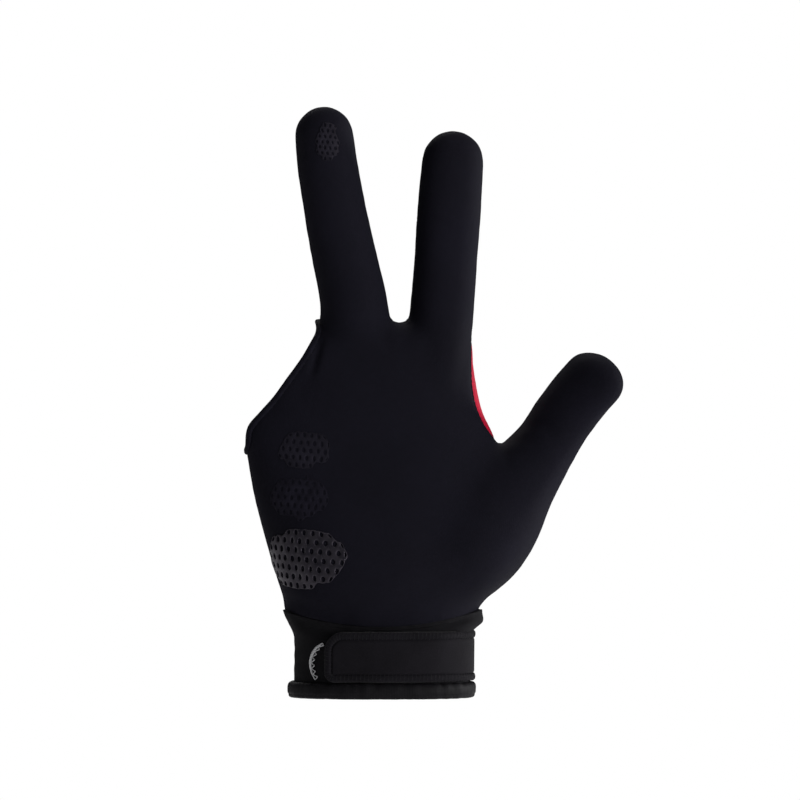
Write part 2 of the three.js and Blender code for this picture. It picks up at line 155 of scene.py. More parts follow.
# Soft folds: x and z are where a fold starts and ends in the front view, in millimetres, deep and wide are
# its section
Fold = namedtuple("Fold", "face x z to_x to_z deep wide")
FOLDS = [
    Fold("palm", -21.3, 124.5, -24.3, 113.5, 1.3, 1.5),
    Fold("palm", -24.6, 113.0, -29.0, 104.5, 0.3, 3.0),
    Fold("palm", -1.0, 129.5, 3.5, 120.0, 0.3, 2.2),
    Fold("palm", 9.5, 130.5, 7.5, 121.0, 0.28, 2.2),
    Fold("palm", 37.5, 91.5, 29.0, 83.5, 0.35, 2.6),
    Fold("palm", 41.5, 89.0, 45.0, 79.0, 0.3, 2.4),
    Fold("palm", 30.0, 47.0, 8.0, 34.5, 0.35, 3.4),
    Fold("palm", -30.5, 40.0, -12.0, 33.5, 0.45, 2.6),
    Fold("palm", -35.0, 33.5, -12.0, 28.5, 1.8, 4.0),
    Fold("palm", -14.0, 27.6, 18.0, 27.2, 0.5, 1.7),
    Fold("palm", -33.5, 45.0, -24.0, 38.0, 0.3, 2.4),
    Fold("palm", -31.2, 57.0, -28.6, 42.0, 0.45, 1.5),
    Fold("palm", -15.5, 156.0, -7.5, 157.5, 0.12, 1.8),
    Fold("palm", 19.0, 157.5, 28.0, 157.0, 0.12, 1.8),
    Fold("palm", 56.0, 96.0, 62.0, 88.0, 0.25, 2.0),
    Fold("back", -19.0, 127.0, -22.0, 116.0, 0.5, 2.2),
    Fold("back", 3.0, 128.0, 2.0, 112.0, 0.45, 3.0),
    Fold("back", 38.0, 92.0, 27.0, 86.0, 0.4, 2.8),
    Fold("back", -26.0, 42.0, -4.0, 37.5, 0.35, 3.0),
    Fold("back", 6.0, 38.0, 27.0, 43.0, 0.35, 3.0),
    Fold("back", -18.5, 158.0, -9.0, 159.5, 0.3, 1.8),
    Fold("back", -18.0, 162.0, -9.5, 163.5, 0.25, 1.6),
    Fold("back", 17.5, 158.0, 29.0, 157.0, 0.3, 1.8),
    Fold("back", 18.0, 162.0, 29.0, 161.0, 0.25, 1.6),
    Fold("back", 60.0, 99.0, 67.0, 90.0, 0.3, 1.8),
]

# Printed grip pads: side and up as above, wide and high are their half sizes in the same shares, turn is from
# the front towards the little finger's side, fade is how worn the print is, and pitch scales its net. Past
# the share PAD_RIM of its half size a net keeps only RIM_PULL of its way out, so its outline is round.
Pad = namedtuple("Pad", "node side up turn wide high fade pitch")
PALM_PADS = [
    Pad("grip_pad_lower", -0.3, 0.18, 40, 0.372, 0.118, 0.0, 1.0),
    Pad("grip_pad_middle", -0.43, 0.39, 30, 0.252, 0.084, 0.95, 0.85),
    Pad("grip_pad_upper", -0.472, 0.555, 20, 0.226, 0.074, 0.8, 0.85),
]
FINGERTIP_PAD = Pad("grip_pad_fingertip", 0, 0.83, 0, 0.21, 0.102, 0.75, 0.62)
PAD_RIM = 0.86
RIM_PULL = 0.35

# Where the bar tack runs on the cuff, from its top, as x and z in millimetres
BAR_TACK_ARC = [(-20.4, 19.4), (-22.6, 17.6), (-24.1, 14.8), (-24.5, 12.0), (-24.0, 9.2), (-23.0, 6.9)]

# Round soft lights, all aimed at the glove
Light = namedtuple("Light", "name place size power")
LIGHTS = [
    Light("key_light", (1.38, -1.16, 0.1), 0.8, 27.5),
    Light("top_light", (0.15, -0.02, 1.9), 0.9, 15),
    Light("edge_light", (0.95, 0.36, 0.16), 0.15, 6.5),
    Light("left_light", (-1.6, 0.45, 0.2), 0.35, 2.6),
    Light("back_light", (-0.3, 1.1, 1.3), 0.8, 11),
]
LIGHT_AIM = Vector((0.01, 0, 0.1))

# The picture is FRAME_WIDTH wide at the glove, and the camera looks level from CAMERA_DISTANCE in front
FRAME_WIDTH = 0.28
CAMERA_DISTANCE = 2.5
FRAME_MIDDLE = (0.006475, 0.10395)
FLOOR_LEVEL = -0.13
FLOOR_RADIUS = 1.6


def length(name, description, default):
    return FloatProperty(name=name, description=description, default=default, min=0, unit="LENGTH")


def angle(name, description, default):
    return FloatProperty(name=name, description=description, default=math.radians(default), unit="ROTATION")


def digit_size(name, default):
    words = "Width, depth, length from its root to its tip, and height of its rounded tip"
    return FloatVectorProperty(name=name, description=words, size=4, default=default, unit="LENGTH")


def colour(name, description, default):
    return FloatVectorProperty(name=name, description=description, size=3, default=default, min=0, max=1,
                               subtype="COLOR")


def share(name, description, default):
    return FloatProperty(name=name, description=description, default=default, min=0, max=1, subtype="FACTOR")


class HandSizes(bpy.types.PropertyGroup):
    """The hand that the glove is filled to"""

    palm_rise: length("Palm rise", "From the cuff's top to the fingers' roots", 100.8 * MM)
    palm_width: length("Palm width", "Across the palm and the thumb's ball", 93.4 * MM)
    palm_depth: length("Palm depth", "Through the thickest part of the palm", 46 * MM)
    crown_height: length("Crown height", "Height of the palm's rounded top", 11 * MM)
    palm_roundness: FloatProperty(name="Palm roundness", description="2 is an ellipse, more is squarer",
                                  default=2.4, min=1)
    digit_roundness: FloatProperty(name="Digit roundness", description="2 is an ellipse, more is squarer",
                                   default=2.1, min=1)
    middle: digit_size("Middle finger", (22.8 * MM, 20 * MM, 76.2 * MM, 10.5 * MM))
    middle_lean: angle("Middle lean", "Lean towards the thumb's side", -9.3)
    index: digit_size("Index finger", (22.5 * MM, 19.6 * MM, 67 * MM, 11 * MM))
    index_lean: angle("Index lean", "Lean towards the thumb's side", 4.1)
    thumb: digit_size("Thumb", (22 * MM, 20 * MM, 91 * MM, 9 * MM))
    thumb_lean: angle("Thumb lean", "Lean towards the thumb's side", 36.3)
    finger_curl: length("Finger curl", "How far the longest fingertip comes forward", 9 * MM)
    thumb_forward: length("Thumb forward", "How far the thumb's tip comes forward", 12 * MM)


class ClothSizes(bpy.types.PropertyGroup):
    """Stretch cloth and its seams"""

    wall: length("Cloth wall", "Thickness of the stretch cloth", 1.2 * MM)
    grain: length("Form grain", "Size of the form's faces", 1.0 * MM)
    seam_gap: length("Seam gap", "Between two panels at their seam", 0.16 * MM)
    seam_depth: length("Seam depth", "How far a seam draws the cloth in", 0.42 * MM)
    seam_reach: length("Seam reach", "How far from a seam the cloth is drawn in", 1.1 * MM)
    pucker_pitch: length("Pucker pitch", "From one pucker of a seam to the next", 3.6 * MM)
    cord: length("Seam cord", "Radius of the welt in a seam", 0.42 * MM)
    gusset_bulge: length("Red panel depth", "Greatest depth of the red side panel", 10 * MM)
    edge_width: length("Edge width", "Width of the rolled opening edge", 2.3 * MM)
    edge_thickness: length("Edge thickness", "Thickness of the rolled opening edge", 2.0 * MM)
    edge_stitch: length("Edge stitch", "From one stitch of the rolled edge to the next", 2.1 * MM)
    thread: length("Thread", "Radius of the sewing thread", 0.13 * MM)


class CuffSizes(bpy.types.PropertyGroup):
    """Wrist cuff and hem"""

    wrist_width: length("Wrist width", "Across the wrist", 59.6 * MM)
    wrist_depth: length("Wrist depth", "Through the wrist", 42 * MM)
    height: length("Cuff height", "From the mouth to the seam's high ends", 30.5 * MM)
    dip: length("Seam dip", "How far the seam dips at the palm's middle", 5.5 * MM)
    proud: length("Cuff proud", "How far the cuff stands off the wrist's form", 0.8 * MM)
    wall: length("Cuff wall", "Thickness of the cuff's cloth", 2.2 * MM)
    hem_height: length("Hem height", "Height of the rolled hem", 5.5 * MM)
    hem_proud: length("Hem proud", "How far the hem stands off the wrist's form", 3.1 * MM)
    hem_thickness: length("Hem thickness", "Thickness of the rolled hem", 4.0 * MM)
    hem_pucker: length("Hem pucker", "From one pucker of the hem to the next", 4.4 * MM)


class StrapSizes(bpy.types.PropertyGroup):
    """Closure strap"""

    bottom: length("Strap bottom", "Height of its lower edge", 5.95 * MM)
    height: length("Strap height", "Its width across", 17.6 * MM)
    thickness: length("Strap thickness", "Thickness of its cloth", 1.6 * MM)
    reach: length("Strap reach", "How far its rounded end lies past the middle", 19 * MM)
    root: length("Strap root", "How far behind the wrist's middle its sewn end lies", 12 * MM)
    top_corner: length("Upper corner", "Radius of its free end's upper corner", 7 * MM)
    bottom_corner: length("Lower corner", "Radius of its free end's lower corner", 3.4 * MM)
    border: length("Border", "Width of its overlocked border", 2.7 * MM)
    border_stitch: length("Border stitch", "From one stitch of the border to the next", 1.35 * MM)
    stand_off: length("Stand-off", "How far its end stands off the cuff", 1.8 * MM)
    tape_length: length("Tape length", "Length of the hook tape", 22 * MM)
    tape_margin: length("Tape margin", "From the hook tape to the strap's edge", 2.8 * MM)
    tape_thickness: length("Tape thickness", "Thickness of the hook tape", 1.0 * MM)


class PadSizes(bpy.types.PropertyGroup):
    """Printed grip pads"""

    thickness: length("Print thickness", "How far the print stands off the cloth", 0.4 * MM)
    pitch_across: length("Hole pitch across", "From one hole to the next in a row", 2.9 * MM)
    pitch_up: length("Row pitch", "From one row of holes to the next", 3.1 * MM)
    hole: share("Hole share", "How much of a cell its hole takes", 0.36)
    slant: angle("Row slant", "How far the rows fall towards the thumb's side", 5)


class GloveColours(bpy.types.PropertyGroup):
    """Colours of the cloths, the print and the threads"""

    cloth: colour("Stretch cloth", "Black stretch knit", (0.0066, 0.0062, 0.0104))
    red: colour("Red cloth", "Crimson side panel", (0.36, 0.0035, 0.024))
    edge: colour("Edge elastic", "Rolled edge and hem", (0.0052, 0.0048, 0.006))
    cuff: colour("Cuff cloth", "Neoprene-backed cuff cloth", (0.0078, 0.0075, 0.0088))
    strap: colour("Strap cloth", "Brushed loop cloth", (0.0062, 0.0055, 0.0074))
    tape: colour("Hook tape", "Hook tape", (0.012, 0.012, 0.013))
    grip: colour("Grip print", "Printed silicone", (0.0062, 0.006, 0.0088))
    thread: colour("Black thread", "Seams and borders", (0.0048, 0.0045, 0.0062))
    light_thread: colour("Light thread", "Bar tack by the strap's end", (0.58, 0.58, 0.6))


class GloveSizes(bpy.types.PropertyGroup):
    """All sizes and colours of the glove"""

    hand: PointerProperty(type=HandSizes)
    cloth: PointerProperty(type=ClothSizes)
    cuff: PointerProperty(type=CuffSizes)
    strap: PointerProperty(type=StrapSizes)
    pads: PointerProperty(type=PadSizes)
    colours: PointerProperty(type=GloveColours)


def across(glove, part):
    """A share of half of the palm's width, from its middle."""
    return part * glove.hand.palm_width / 2


def above(glove, part):
    """The height of a share of the palm's rise above the cuff."""
    return glove.cuff.height + part * glove.hand.palm_rise


def clamp(value, low=0.0, high=1.0):
    return max(low, min(high, value))


def smoothstep(value, low, high):
    t = clamp((value - low) / (high - low))
    return t * t * (3 - 2 * t)


def mixed(low, high, t):
    return low + (high - low) * t


def smooth_rows(rows, step):
    """Rows interpolated smoothly along their first column, a step or less apart."""
    slopes = []
    for i in range(len(rows)):
        before = rows[max(i - 1, 0)]
        after = rows[min(i + 1, len(rows) - 1)]
        run = after[0] - before[0]
        slopes.append([(b - a) / run for a, b in zip(before, after)])
    result = []
    for low, high, low_slope, high_slope in zip(rows, rows[1:], slopes, slopes[1:]):
        run = high[0] - low[0]
        count = max(1, math.ceil(run / step))
        for k in range(count):
            t = k / count
            weights = ((1 + 2 * t) * (1 - t) ** 2, t * (1 - t) ** 2 * run, t * t * (3 - 2 * t),
                       t * t * (t - 1) * run)
            columns = zip(low, low_slope, high, high_slope)
            result.append([sum(w * value for w, value in zip(weights, column)) for column in columns])
    result.append(list(rows[-1]))
    return result


Section = namedtuple("Section", "x z lean left right front back")


def section_point(section, turn, roundness):
    """Point of a superellipse with its own reach to each side: turn 0 is the thumb's side, and a quarter turn
    the back."""
    c, s = math.cos(turn), math.sin(turn)
    power = 2 / roundness
    u = math.copysign(abs(c) ** power, c) * (section.right if c > 0 else section.left)
    v = math.copysign(abs(s) ** power, s) * (section.back if s > 0 else section.front)
    return Vector((section.x + u * math.cos(section.lean), v, section.z - u * math.sin(section.lean)))


def sheet(bm, columns, rows, place):
    """A grid whose points place(column, row) puts, with their cloth coordinates. Points that meet are
    joined."""
    made = bmesh.ops.create_grid(bm, x_segments=columns, y_segments=rows, size=1.0)["verts"]
    cloth = bm.loops.layers.uv.verify()
    spots = {}
    for vert in made:
        column = round((vert.co.x + 1) / 2 * columns)
        row = round((vert.co.y + 1) / 2 * rows)
        vert.co, spots[vert] = place(column, row)
    for face in {face for vert in made for face in vert.link_faces}:
        for loop in face.loops:
            loop[cloth].uv = spots[loop.vert]
    bmesh.ops.remove_doubles(bm, verts=made, dist=1e-6)


def move_verts(bm, moves):
    """Moves every vertex, once all the moves are known."""
    for vert, move in zip(bm.verts, moves):
        vert.co += move


def loft(bm, sections, sides, roundness):
    """Closed skin through sections, whose first and last have no size."""
    def place(column, row):
        turn = 2 * math.pi * (column % sides) / sides
        return section_point(sections[row], turn, roundness), (column / sides, row / len(sections))
    sheet(bm, sides, len(sections) - 1, place)


Station = namedtuple("Station", "point up wide thick")


def sweep(bm, stations, sides, closed=False, roundness=2.0):
    """A roll along stations. Up is the side that faces out, and wide and thick are half sizes."""
    count = len(stations)
    last = count if closed else count - 1
    frames = []
    run = 0.0
    for i, station in enumerate(stations):
        if closed:
            before, after = stations[i - 1].point, stations[(i + 1) % count].point
        else:
            before, after = stations[max(i - 1, 0)].point, stations[min(i + 1, count - 1)].point
        along = (after - before).normalized()
        beside = along.cross(station.up).normalized()
        run += (station.point - stations[max(i - 1, 0)].point).length
        frames.append((beside, beside.cross(along), run))
    power = 2 / roundness
    around = 2 * math.pi * max(station.wide for station in stations)

    def place(column, row):
        station = stations[row % count]
        beside, up, length_so_far = frames[row % count]
        turn = 2 * math.pi * (column % sides) / sides
        c, s = math.cos(turn), math.sin(turn)
        u = math.copysign(abs(c) ** power, c) * station.wide
        v = math.copysign(abs(s) ** power, s) * station.thick
        spot = (column / sides * around, run if row == count else length_so_far)
        return station.point + beside * u + up * v, spot
    sheet(bm, sides, last, place)


def quarter_arc(steps):
    """Sine and cosine at even steps of a quarter turn, down to a cosine of exactly 0."""
    turns = [math.pi / 2 * k / steps for k in range(1, steps)]
    return [(math.sin(turn), math.cos(turn)) for turn in turns] + [(1.0, 0.0)]


def rounded_ends(stations, steps=3):
    """The stations with a round cap at each end of the roll."""
    def cap(end, beyond):
        out = (end.point - beyond.point).normalized()
        return [Station(end.point + out * end.thick * climb, end.up, end.wide * shrink, end.thick * shrink)
                for climb, shrink in quarter_arc(steps)]
    return cap(stations[0], stations[1])[::-1] + list(stations) + cap(stations[-1], stations[-2])


def resampled(path, step, closed):
    """Points and normals at even steps along a path of (point, normal)."""
    path = list(path) + ([path[0]] if closed else [])
    lengths = [0.0]
    for (a, _), (b, _) in zip(path, path[1:]):
        lengths.append(lengths[-1] + (b - a).length)
    count = max(2, round(lengths[-1] / step))
    result = []
    j = 0
    for i in range(count if closed else count + 1):
        goal = lengths[-1] * i / count
        while j < len(path) - 2 and lengths[j + 1] < goal:
            j += 1
        t = clamp((goal - lengths[j]) / max(lengths[j + 1] - lengths[j], 1e-9))
        point = path[j][0].lerp(path[j + 1][0], t)
        result.append((point, path[j][1].lerp(path[j + 1][1], t).normalized()))
    return result


def smoothed(path, times, closed):
    """The path with its points and normals evened out."""
    for _ in range(times):
        count = len(path)
        fresh = []
        for i, (point, normal) in enumerate(path):
            if not closed and i in (0, count - 1):
                fresh.append((point, normal))
                continue
            before, after = path[i - 1], path[(i + 1) % count]
            middle = (before[0] + after[0]) / 4 + point / 2
            fresh.append((middle, (before[1] + after[1] + normal * 2).normalized()))
        path = fresh
    return path


def chains(edges):
    """Edges sorted into runs of (point, normal), each with whether it closes on itself."""
    links = {}
    for edge in edges:
        a, b = edge.verts
        links.setdefault(a, []).append(b)
        links.setdefault(b, []).append(a)
    order = sorted(links, key=lambda vert: (len(links[vert]) != 1, vert.index))
    seen = set()
    runs = []
    for start in order:
        if start in seen:
            continue
        run = [start]
        seen.add(start)
        while True:
            fresh = [vert for vert in links[run[-1]] if vert not in seen]
            if not fresh:
                break
            run.append(fresh[0])
            seen.add(fresh[0])
        closed = len(run) > 2 and run[0] in links[run[-1]]
        runs.append(([(vert.co.copy(), vert.normal.copy()) for vert in run], closed))
    return sorted(runs, key=lambda pair: -len(pair[0]))


def body_sections(glove):
    """The wrist and palm in one, closed by a rounded crown between the fingers."""
    hand, cuff = glove.hand, glove.cuff
    wrist = [(cuff.height * row.at, cuff.wrist_width * row.left, cuff.wrist_width * row.right,
              cuff.wrist_depth * row.front, cuff.wrist_depth * row.back) for row in WRIST_ROWS]
    palm = [(above(glove, row.at), hand.palm_width * row.left, hand.palm_width * row.right,
             hand.palm_depth * row.front, hand.palm_depth * row.back) for row in PALM_ROWS]
    rows = smooth_rows(wrist + palm, SECTION_STEP)
    _, left, right, front, back = rows[-1]
    foot = cuff.height + hand.palm_rise - hand.crown_height
    crown_left = across(glove, abs(OPENING_TOP.side)) + glove.cloth.wall
    crown_right = across(glove, INDEX_ROOT.side) + hand.index[0] * CROWN_SHARE
    for climb, shrink in quarter_arc(TIP_STEPS):
        rows.append((foot + hand.crown_height * climb, mixed(left, crown_left, climb),
                     mixed(right, crown_right, climb), front * shrink, back * shrink))
    low, high = rows[0][0], rows[-1][0]
    rows = [(low, 0, 0, 0, 0)] + rows + [(high, 0, 0, 0, 0)]
    return [Section(0, z, 0, *reach) for z, *reach in rows]


Digit = namedtuple("Digit", "name size lean root rows")


def digits(glove):
    """The two fingers and the thumb that the glove covers."""
    hand = glove.hand
    return [
        Digit("index", hand.index, hand.index_lean, INDEX_ROOT, INDEX_ROWS),
        Digit("middle", hand.middle, hand.middle_lean, MIDDLE_ROOT, MIDDLE_ROWS),
        Digit("thumb", hand.thumb, hand.thumb_lean, THUMB_ROOT, THUMB_ROWS),
    ]


def digit_root(glove, digit):
    return Vector((across(glove, digit.root.side), 0, above(glove, digit.root.up)))


def digit_axes(digit):
    """Along the digit, and across it towards the thumb's side."""
    lean = digit.lean
    return Vector((math.sin(lean), 0, math.cos(lean))), Vector((math.cos(lean), 0, -math.sin(lean)))


def digit_sections(glove, digit):
    """A finger or the thumb, closed by a rounded tip."""
    width, depth, reach, tip = digit.size
    rows = [(row.at * reach, row.half * width, row.aside * width, row.front * depth, row.back * depth)
            for row in digit.rows]
    rows = smooth_rows(rows, SECTION_STEP)
    _, half, aside, front, back = rows[-1]
    for climb, shrink in quarter_arc(TIP_STEPS):
        rows.append((reach - tip + tip * climb, half * shrink, aside, front * shrink, back * shrink))
    first, last = rows[0], rows[-1]
    rows = [(first[0], 0, first[2], 0, 0)] + rows + [(last[0], 0, last[2], 0, 0)]
    root = digit_root(glove, digit)
    along, beside = digit_axes(digit)
    sections = []
    for at, half, aside, front, back in rows:
        centre = root + along * at + beside * aside
        sections.append(Section(centre.x, centre.z, digit.lean, half, half, front, back))
    return sections


def relaxed(glove, point):
    """Where a point of the flat, straight hand goes once the fingers curl and the thumb comes forward."""
    hand = glove.hand
    knuckle = above(glove, KNUCKLE_UP)
    reach = above(glove, 1) + hand.middle[2] - knuckle
    bend = across(glove, THUMB_BEND_SIDE)
    thumb_reach = across(glove, THUMB_ROOT.side) + hand.thumb[2] * math.sin(hand.thumb_lean) - bend
    climb = max(0.0, point.z - knuckle) / reach
    out = max(0.0, point.x - bend) / thumb_reach
    forward = hand.finger_curl * climb ** 2 + hand.thumb_forward * out ** 2
    return Vector((point.x, point.y - forward, point.z))


def gusset_half(glove, x, z):
    """Half of the red panel's depth at a place of the web between index finger and thumb, and 0 elsewhere."""
    top, foot = above(glove, GUSSET_TOP), above(glove, GUSSET_FOOT)
    if not foot < z < top or x < across(glove, INDEX_ROOT.side) or x > web_limit(glove, z):
        return 0.0
    widest = above(glove, GUSSET_WIDEST)
    a = top - 2 * widest + foot
    b = 2 * (widest - top)
    c = top - z
    t = (-b - math.sqrt(max(0.0, b * b - 4 * a * c))) / (2 * a)
    blunt = mixed(1.0, 0.5, smoothstep(widest - z, -8 * MM, 2 * MM))
    return (4 * t * (1 - t)) ** blunt * glove.cloth.gusset_bulge / 2


def web_limit(glove, z):
    """The thumb lies beyond this x, and the web and the index finger before it."""
    foot = above(glove, GUSSET_FOOT)
    return across(glove, 0.885) + (z - foot) * 0.42


def opening_frame(glove):
    """The upper end of the opening's edge, the way down along it, and the way out of the palm across it."""
    top = Vector((across(glove, OPENING_TOP.side), 0, above(glove, OPENING_TOP.up)))
    foot = Vector((across(glove, OPENING_FOOT.side), 0, above(glove, OPENING_FOOT.up)))
    slope = (foot - top).normalized()
    return top, slope, Vector((slope.z, 0, -slope.x))


def opening_curve(glove, point):
    """How far out of the palm the opening's edge runs: it follows the middle finger's side at its top, sags
    between, and drops to the hand's side at its foot."""
    top, slope, _ = opening_frame(glove)
    run = (point - top).dot(slope)
    turn_in = 2.0 * MM
    climb = 0.75 * (math.sqrt(run * run + turn_in * turn_in) - run)
    sag = 1.2 * MM * smoothstep(run, -4 * MM, 15 * MM) * (1 - smoothstep(run, 28 * MM, 42 * MM))
    drop = 3.6 * MM * smoothstep(run, 42 * MM, 50 * MM)
    return climb - sag - drop


def cuff_seam(glove, point):
    """Height of the seam of cuff and palm, which dips at the middle."""
    half = glove.hand.palm_width * PALM_ROWS[0].left
    return glove.cuff.height - glove.cuff.dip + glove.cuff.dip * (point.x / half) ** 2


def cut_curve(bm, axis, shift, keep=None):
    """Cuts a mesh where a point's place along an axis, plus its shift, is zero, and keeps the "low" or the
    "high" side or both. A shift never depends on the place along its own axis, so the mesh goes back as it
    was."""
    for vert in bm.verts:
        vert.co += axis * shift(vert.co)
    whole = bm.verts[:] + bm.edges[:] + bm.faces[:]
    cut = bmesh.ops.bisect_plane(bm, geom=whole, dist=1e-7, plane_co=Vector(), plane_no=axis,
                                 clear_outer=keep == "low", clear_inner=keep == "high")["geom_cut"]
    for vert in bm.verts:
        vert.co -= axis * shift(vert.co)
    return [part for part in cut if isinstance(part, bmesh.types.BMEdge)]


def cut_cuff(bm, glove, lift, keep):
    """Cuts along the seam of cuff and palm, a lift above it."""
    return cut_curve(bm, Vector((0, 0, 1)), lambda point: -cuff_seam(glove, point) - lift, keep)


def cut_opening(bm, glove, inset):
    """Cuts away what lies out of the palm past the opening's edge, less an inset."""
    top, _, out = opening_frame(glove)
    start = top.dot(out)
    return cut_curve(bm, out, lambda point: inset - start - opening_curve(glove, point), "low")


def cut_side(bm, glove, side, gap, keep="high"):
    """Cuts along the side seam and round the red panel: side is -1 in front and 1 behind."""
    return cut_curve(bm, Vector((0, side, 0)),
                     lambda point: -gusset_half(glove, point.x, point.z) - gap, keep)


def form_copy():
    """A mesh of its own of the glove's whole outer skin."""
    bm = bmesh.new()
    bm.from_mesh(bpy.data.meshes[FORM_MESH])
    return bm


def lay_cloth(bm, glove):
    """Cloth coordinates in metres: round and along the palm, or the digit that a face belongs to."""
    cloth = bm.loops.layers.uv.verify()
    forms = [(digit, digit_root(glove, digit), *digit_axes(digit)) for digit in digits(glove)]
    for face in bm.faces:
        centre = face.calc_center_median()
        found = None
        for digit, root, along, beside in forms:
            width, depth, reach, _ = digit.size
            run = (centre - root).dot(along)
            aside = (centre - root).dot(beside)
            on_digit = run > (0.3 * reach if digit.name == "thumb" else 0)
            if on_digit and math.hypot(aside / width, centre.y / depth) < 0.72:
                found = (root, along, beside, width / 2)
        if found is None:
            found = (Vector(), Vector((0, 0, 1)), Vector((1, 0, 0)), glove.hand.palm_width * 0.4)
        root, along, beside, radius = found
        middle = math.atan2(centre.y, (centre - root).dot(beside))
        for loop in face.loops:
            point = loop.vert.co - root
            turn = math.atan2(point.y, point.dot(beside))
            turn += 2 * math.pi * round((middle - turn) / (2 * math.pi))
            loop[cloth].uv = (turn * radius, point.dot(along))


def fold_depth(fold, point):
    """How far a fold sinks a point, with a low swell on both sides of it."""
    ax, az, bx, bz = (value * MM for value in (fold.x, fold.z, fold.to_x, fold.to_z))
    run_x, run_z = bx - ax, bz - az
    t = ((point.x - ax) * run_x + (point.z - az) * run_z) / (run_x ** 2 + run_z ** 2)
    if not -0.35 < t < 1.35:
        return 0.0
    near = clamp(t)
    away = math.hypot(point.x - ax - near * run_x, point.z - az - near * run_z) / (fold.wide * MM)
    if away > 5:
        return 0.0
    taper = math.sin(math.pi * (t + 0.35) / 1.7) ** 1.5
    return fold.deep * MM * taper * (math.exp(-away * away) - 0.35 * math.exp(-(away / 2.3) ** 2))


def build_form(glove):
    """The whole outer surface of the filled glove, joined into one smooth skin and kept as a mesh."""
    bm = bmesh.new()
    loft(bm, body_sections(glove), BODY_SIDES, glove.hand.palm_roundness)
    for digit in digits(glove):
        loft(bm, digit_sections(glove, digit), DIGIT_SIDES, glove.hand.digit_roundness)
    bmesh.ops.recalc_face_normals(bm, faces=bm.faces)
    mesh = bpy.data.meshes.new("rough_form")
    bm.to_mesh(mesh)
    bm.free()
    rough = bpy.data.objects.new("rough_form", mesh)
    bpy.context.collection.objects.link(rough)
    union = rough.modifiers.new("Union", "REMESH")
    union.mode = "VOXEL"
    union.voxel_size = glove.cloth.grain
    joined = bpy.data.meshes.new_from_object(rough.evaluated_get(bpy.context.evaluated_depsgraph_get()))
    bpy.data.objects.remove(rough)
    bm = bmesh.new()
    bm.from_mesh(joined)
    bpy.data.meshes.remove(joined)
    smooth_form(bm, glove)
    form = bpy.data.meshes.new(FORM_MESH)
    bm.to_mesh(form)
    bm.free()
    form.name = FORM_MESH


def smooth_form(bm, glove):
    """Evens out the skin, most of all where the digits part, and presses the folds into it."""
    def even(verts, times):
        for _ in range(times):
            bmesh.ops.smooth_vert(bm, verts=verts, factor=0.5, use_axis_x=True, use_axis_y=True,
                                  use_axis_z=True)
    even(bm.verts[:], ROUNDS_ALL)
    roots = above(glove, 0.72), above(glove, 1.05)
    thumb = above(glove, 0.1), above(glove, 0.75)
    blend = [vert for vert in bm.verts if roots[0] < vert.co.z < roots[1] and abs(vert.co.y) > 2.5 * MM]
    blend += [vert for vert in bm.verts if thumb[0] < vert.co.z < thumb[1] and vert.co.x > across(glove, 0.3)
              and abs(vert.co.y) > 2.5 * MM]
    blend = list(dict.fromkeys(blend))
    even(blend, ROUNDS_PARTING)
    for margin in (0, 5 * MM, 10 * MM):
        ball = [vert for vert in bm.verts if vert.co.y < -3 * MM and across(glove, 0.02) + margin < vert.co.x
                and above(glove, 0.0) + margin < vert.co.z < above(glove, 0.66) - margin]
        even(ball, ROUNDS_BALL)
    even(bm.verts[:], ROUNDS_LAST)
    bm.normal_update()
    moves = []
    for vert in bm.verts:
        face = "palm" if vert.co.y < 0 else "back"
        sunk = sum(fold_depth(fold, vert.co) for fold in FOLDS if fold.face == face)
        sunk *= smoothstep(abs(vert.co.y), 1.5 * MM, 5 * MM)
        swell = 0.16 * MM * noise.noise(vert.co / (17 * MM)) + 0.05 * MM * noise.noise(vert.co / (6 * MM))
        moves.append(vert.normal * (swell - sunk))
    move_verts(bm, moves)


def draw_in_seam(bm, glove, side):
    """Draws the cloth in along its side seam, with small puckers."""
    cloth = glove.cloth
    for reach in (0.35, 0.75, 1.3, 2.2):
        cut_side(bm, glove, side, cloth.seam_gap / 2 + cloth.seam_reach * reach, None)
    bm.normal_update()
    moves = []
    for vert in bm.verts:
        away = side * vert.co.y - gusset_half(glove, vert.co.x, vert.co.z) - cloth.seam_gap / 2
        if away > 6 * cloth.seam_reach:
            moves.append(Vector())
            continue
        groove = cloth.seam_depth * math.exp(-(away / cloth.seam_reach) ** 2)
        pucker = 0.16 * MM * noise.noise(Vector((vert.co.x, 0, vert.co.z)) / cloth.pucker_pitch)
        moves.append(vert.normal * (pucker * math.exp(-away / (2.2 * MM)) - groove))
    move_verts(bm, moves)


def finish_piece(glove, name, bm, material, replaced=(), wall=0.0, outward=False, grow=0):
    """Curls a finished mesh as the hand curls, and makes it a piece of the glove. Its wall lies inward of the
    mesh, or outward, and grow is how often it is subdivided and rounded."""
    for vert in bm.verts:
        vert.co = relaxed(glove, vert.co)
    for face in bm.faces:
        face.smooth = True
    mesh = bpy.data.meshes.new(name)
    bm.to_mesh(mesh)
    bm.free()
    mesh.materials.append(material)
    piece = bpy.data.objects.new(name, mesh)
    bpy.context.collection.objects.link(piece)
    if wall:
        solid = piece.modifiers.new("Wall", "SOLIDIFY")
        solid.thickness = wall
        solid.offset = 1 if outward else -1
        solid.use_even_offset = False
    if grow:
        round_off = piece.modifiers.new("Round", "SUBSURF")
        round_off.levels = round_off.render_levels = grow
    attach(piece, "root")
    if replaced:
        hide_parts(*replaced)
    return piece


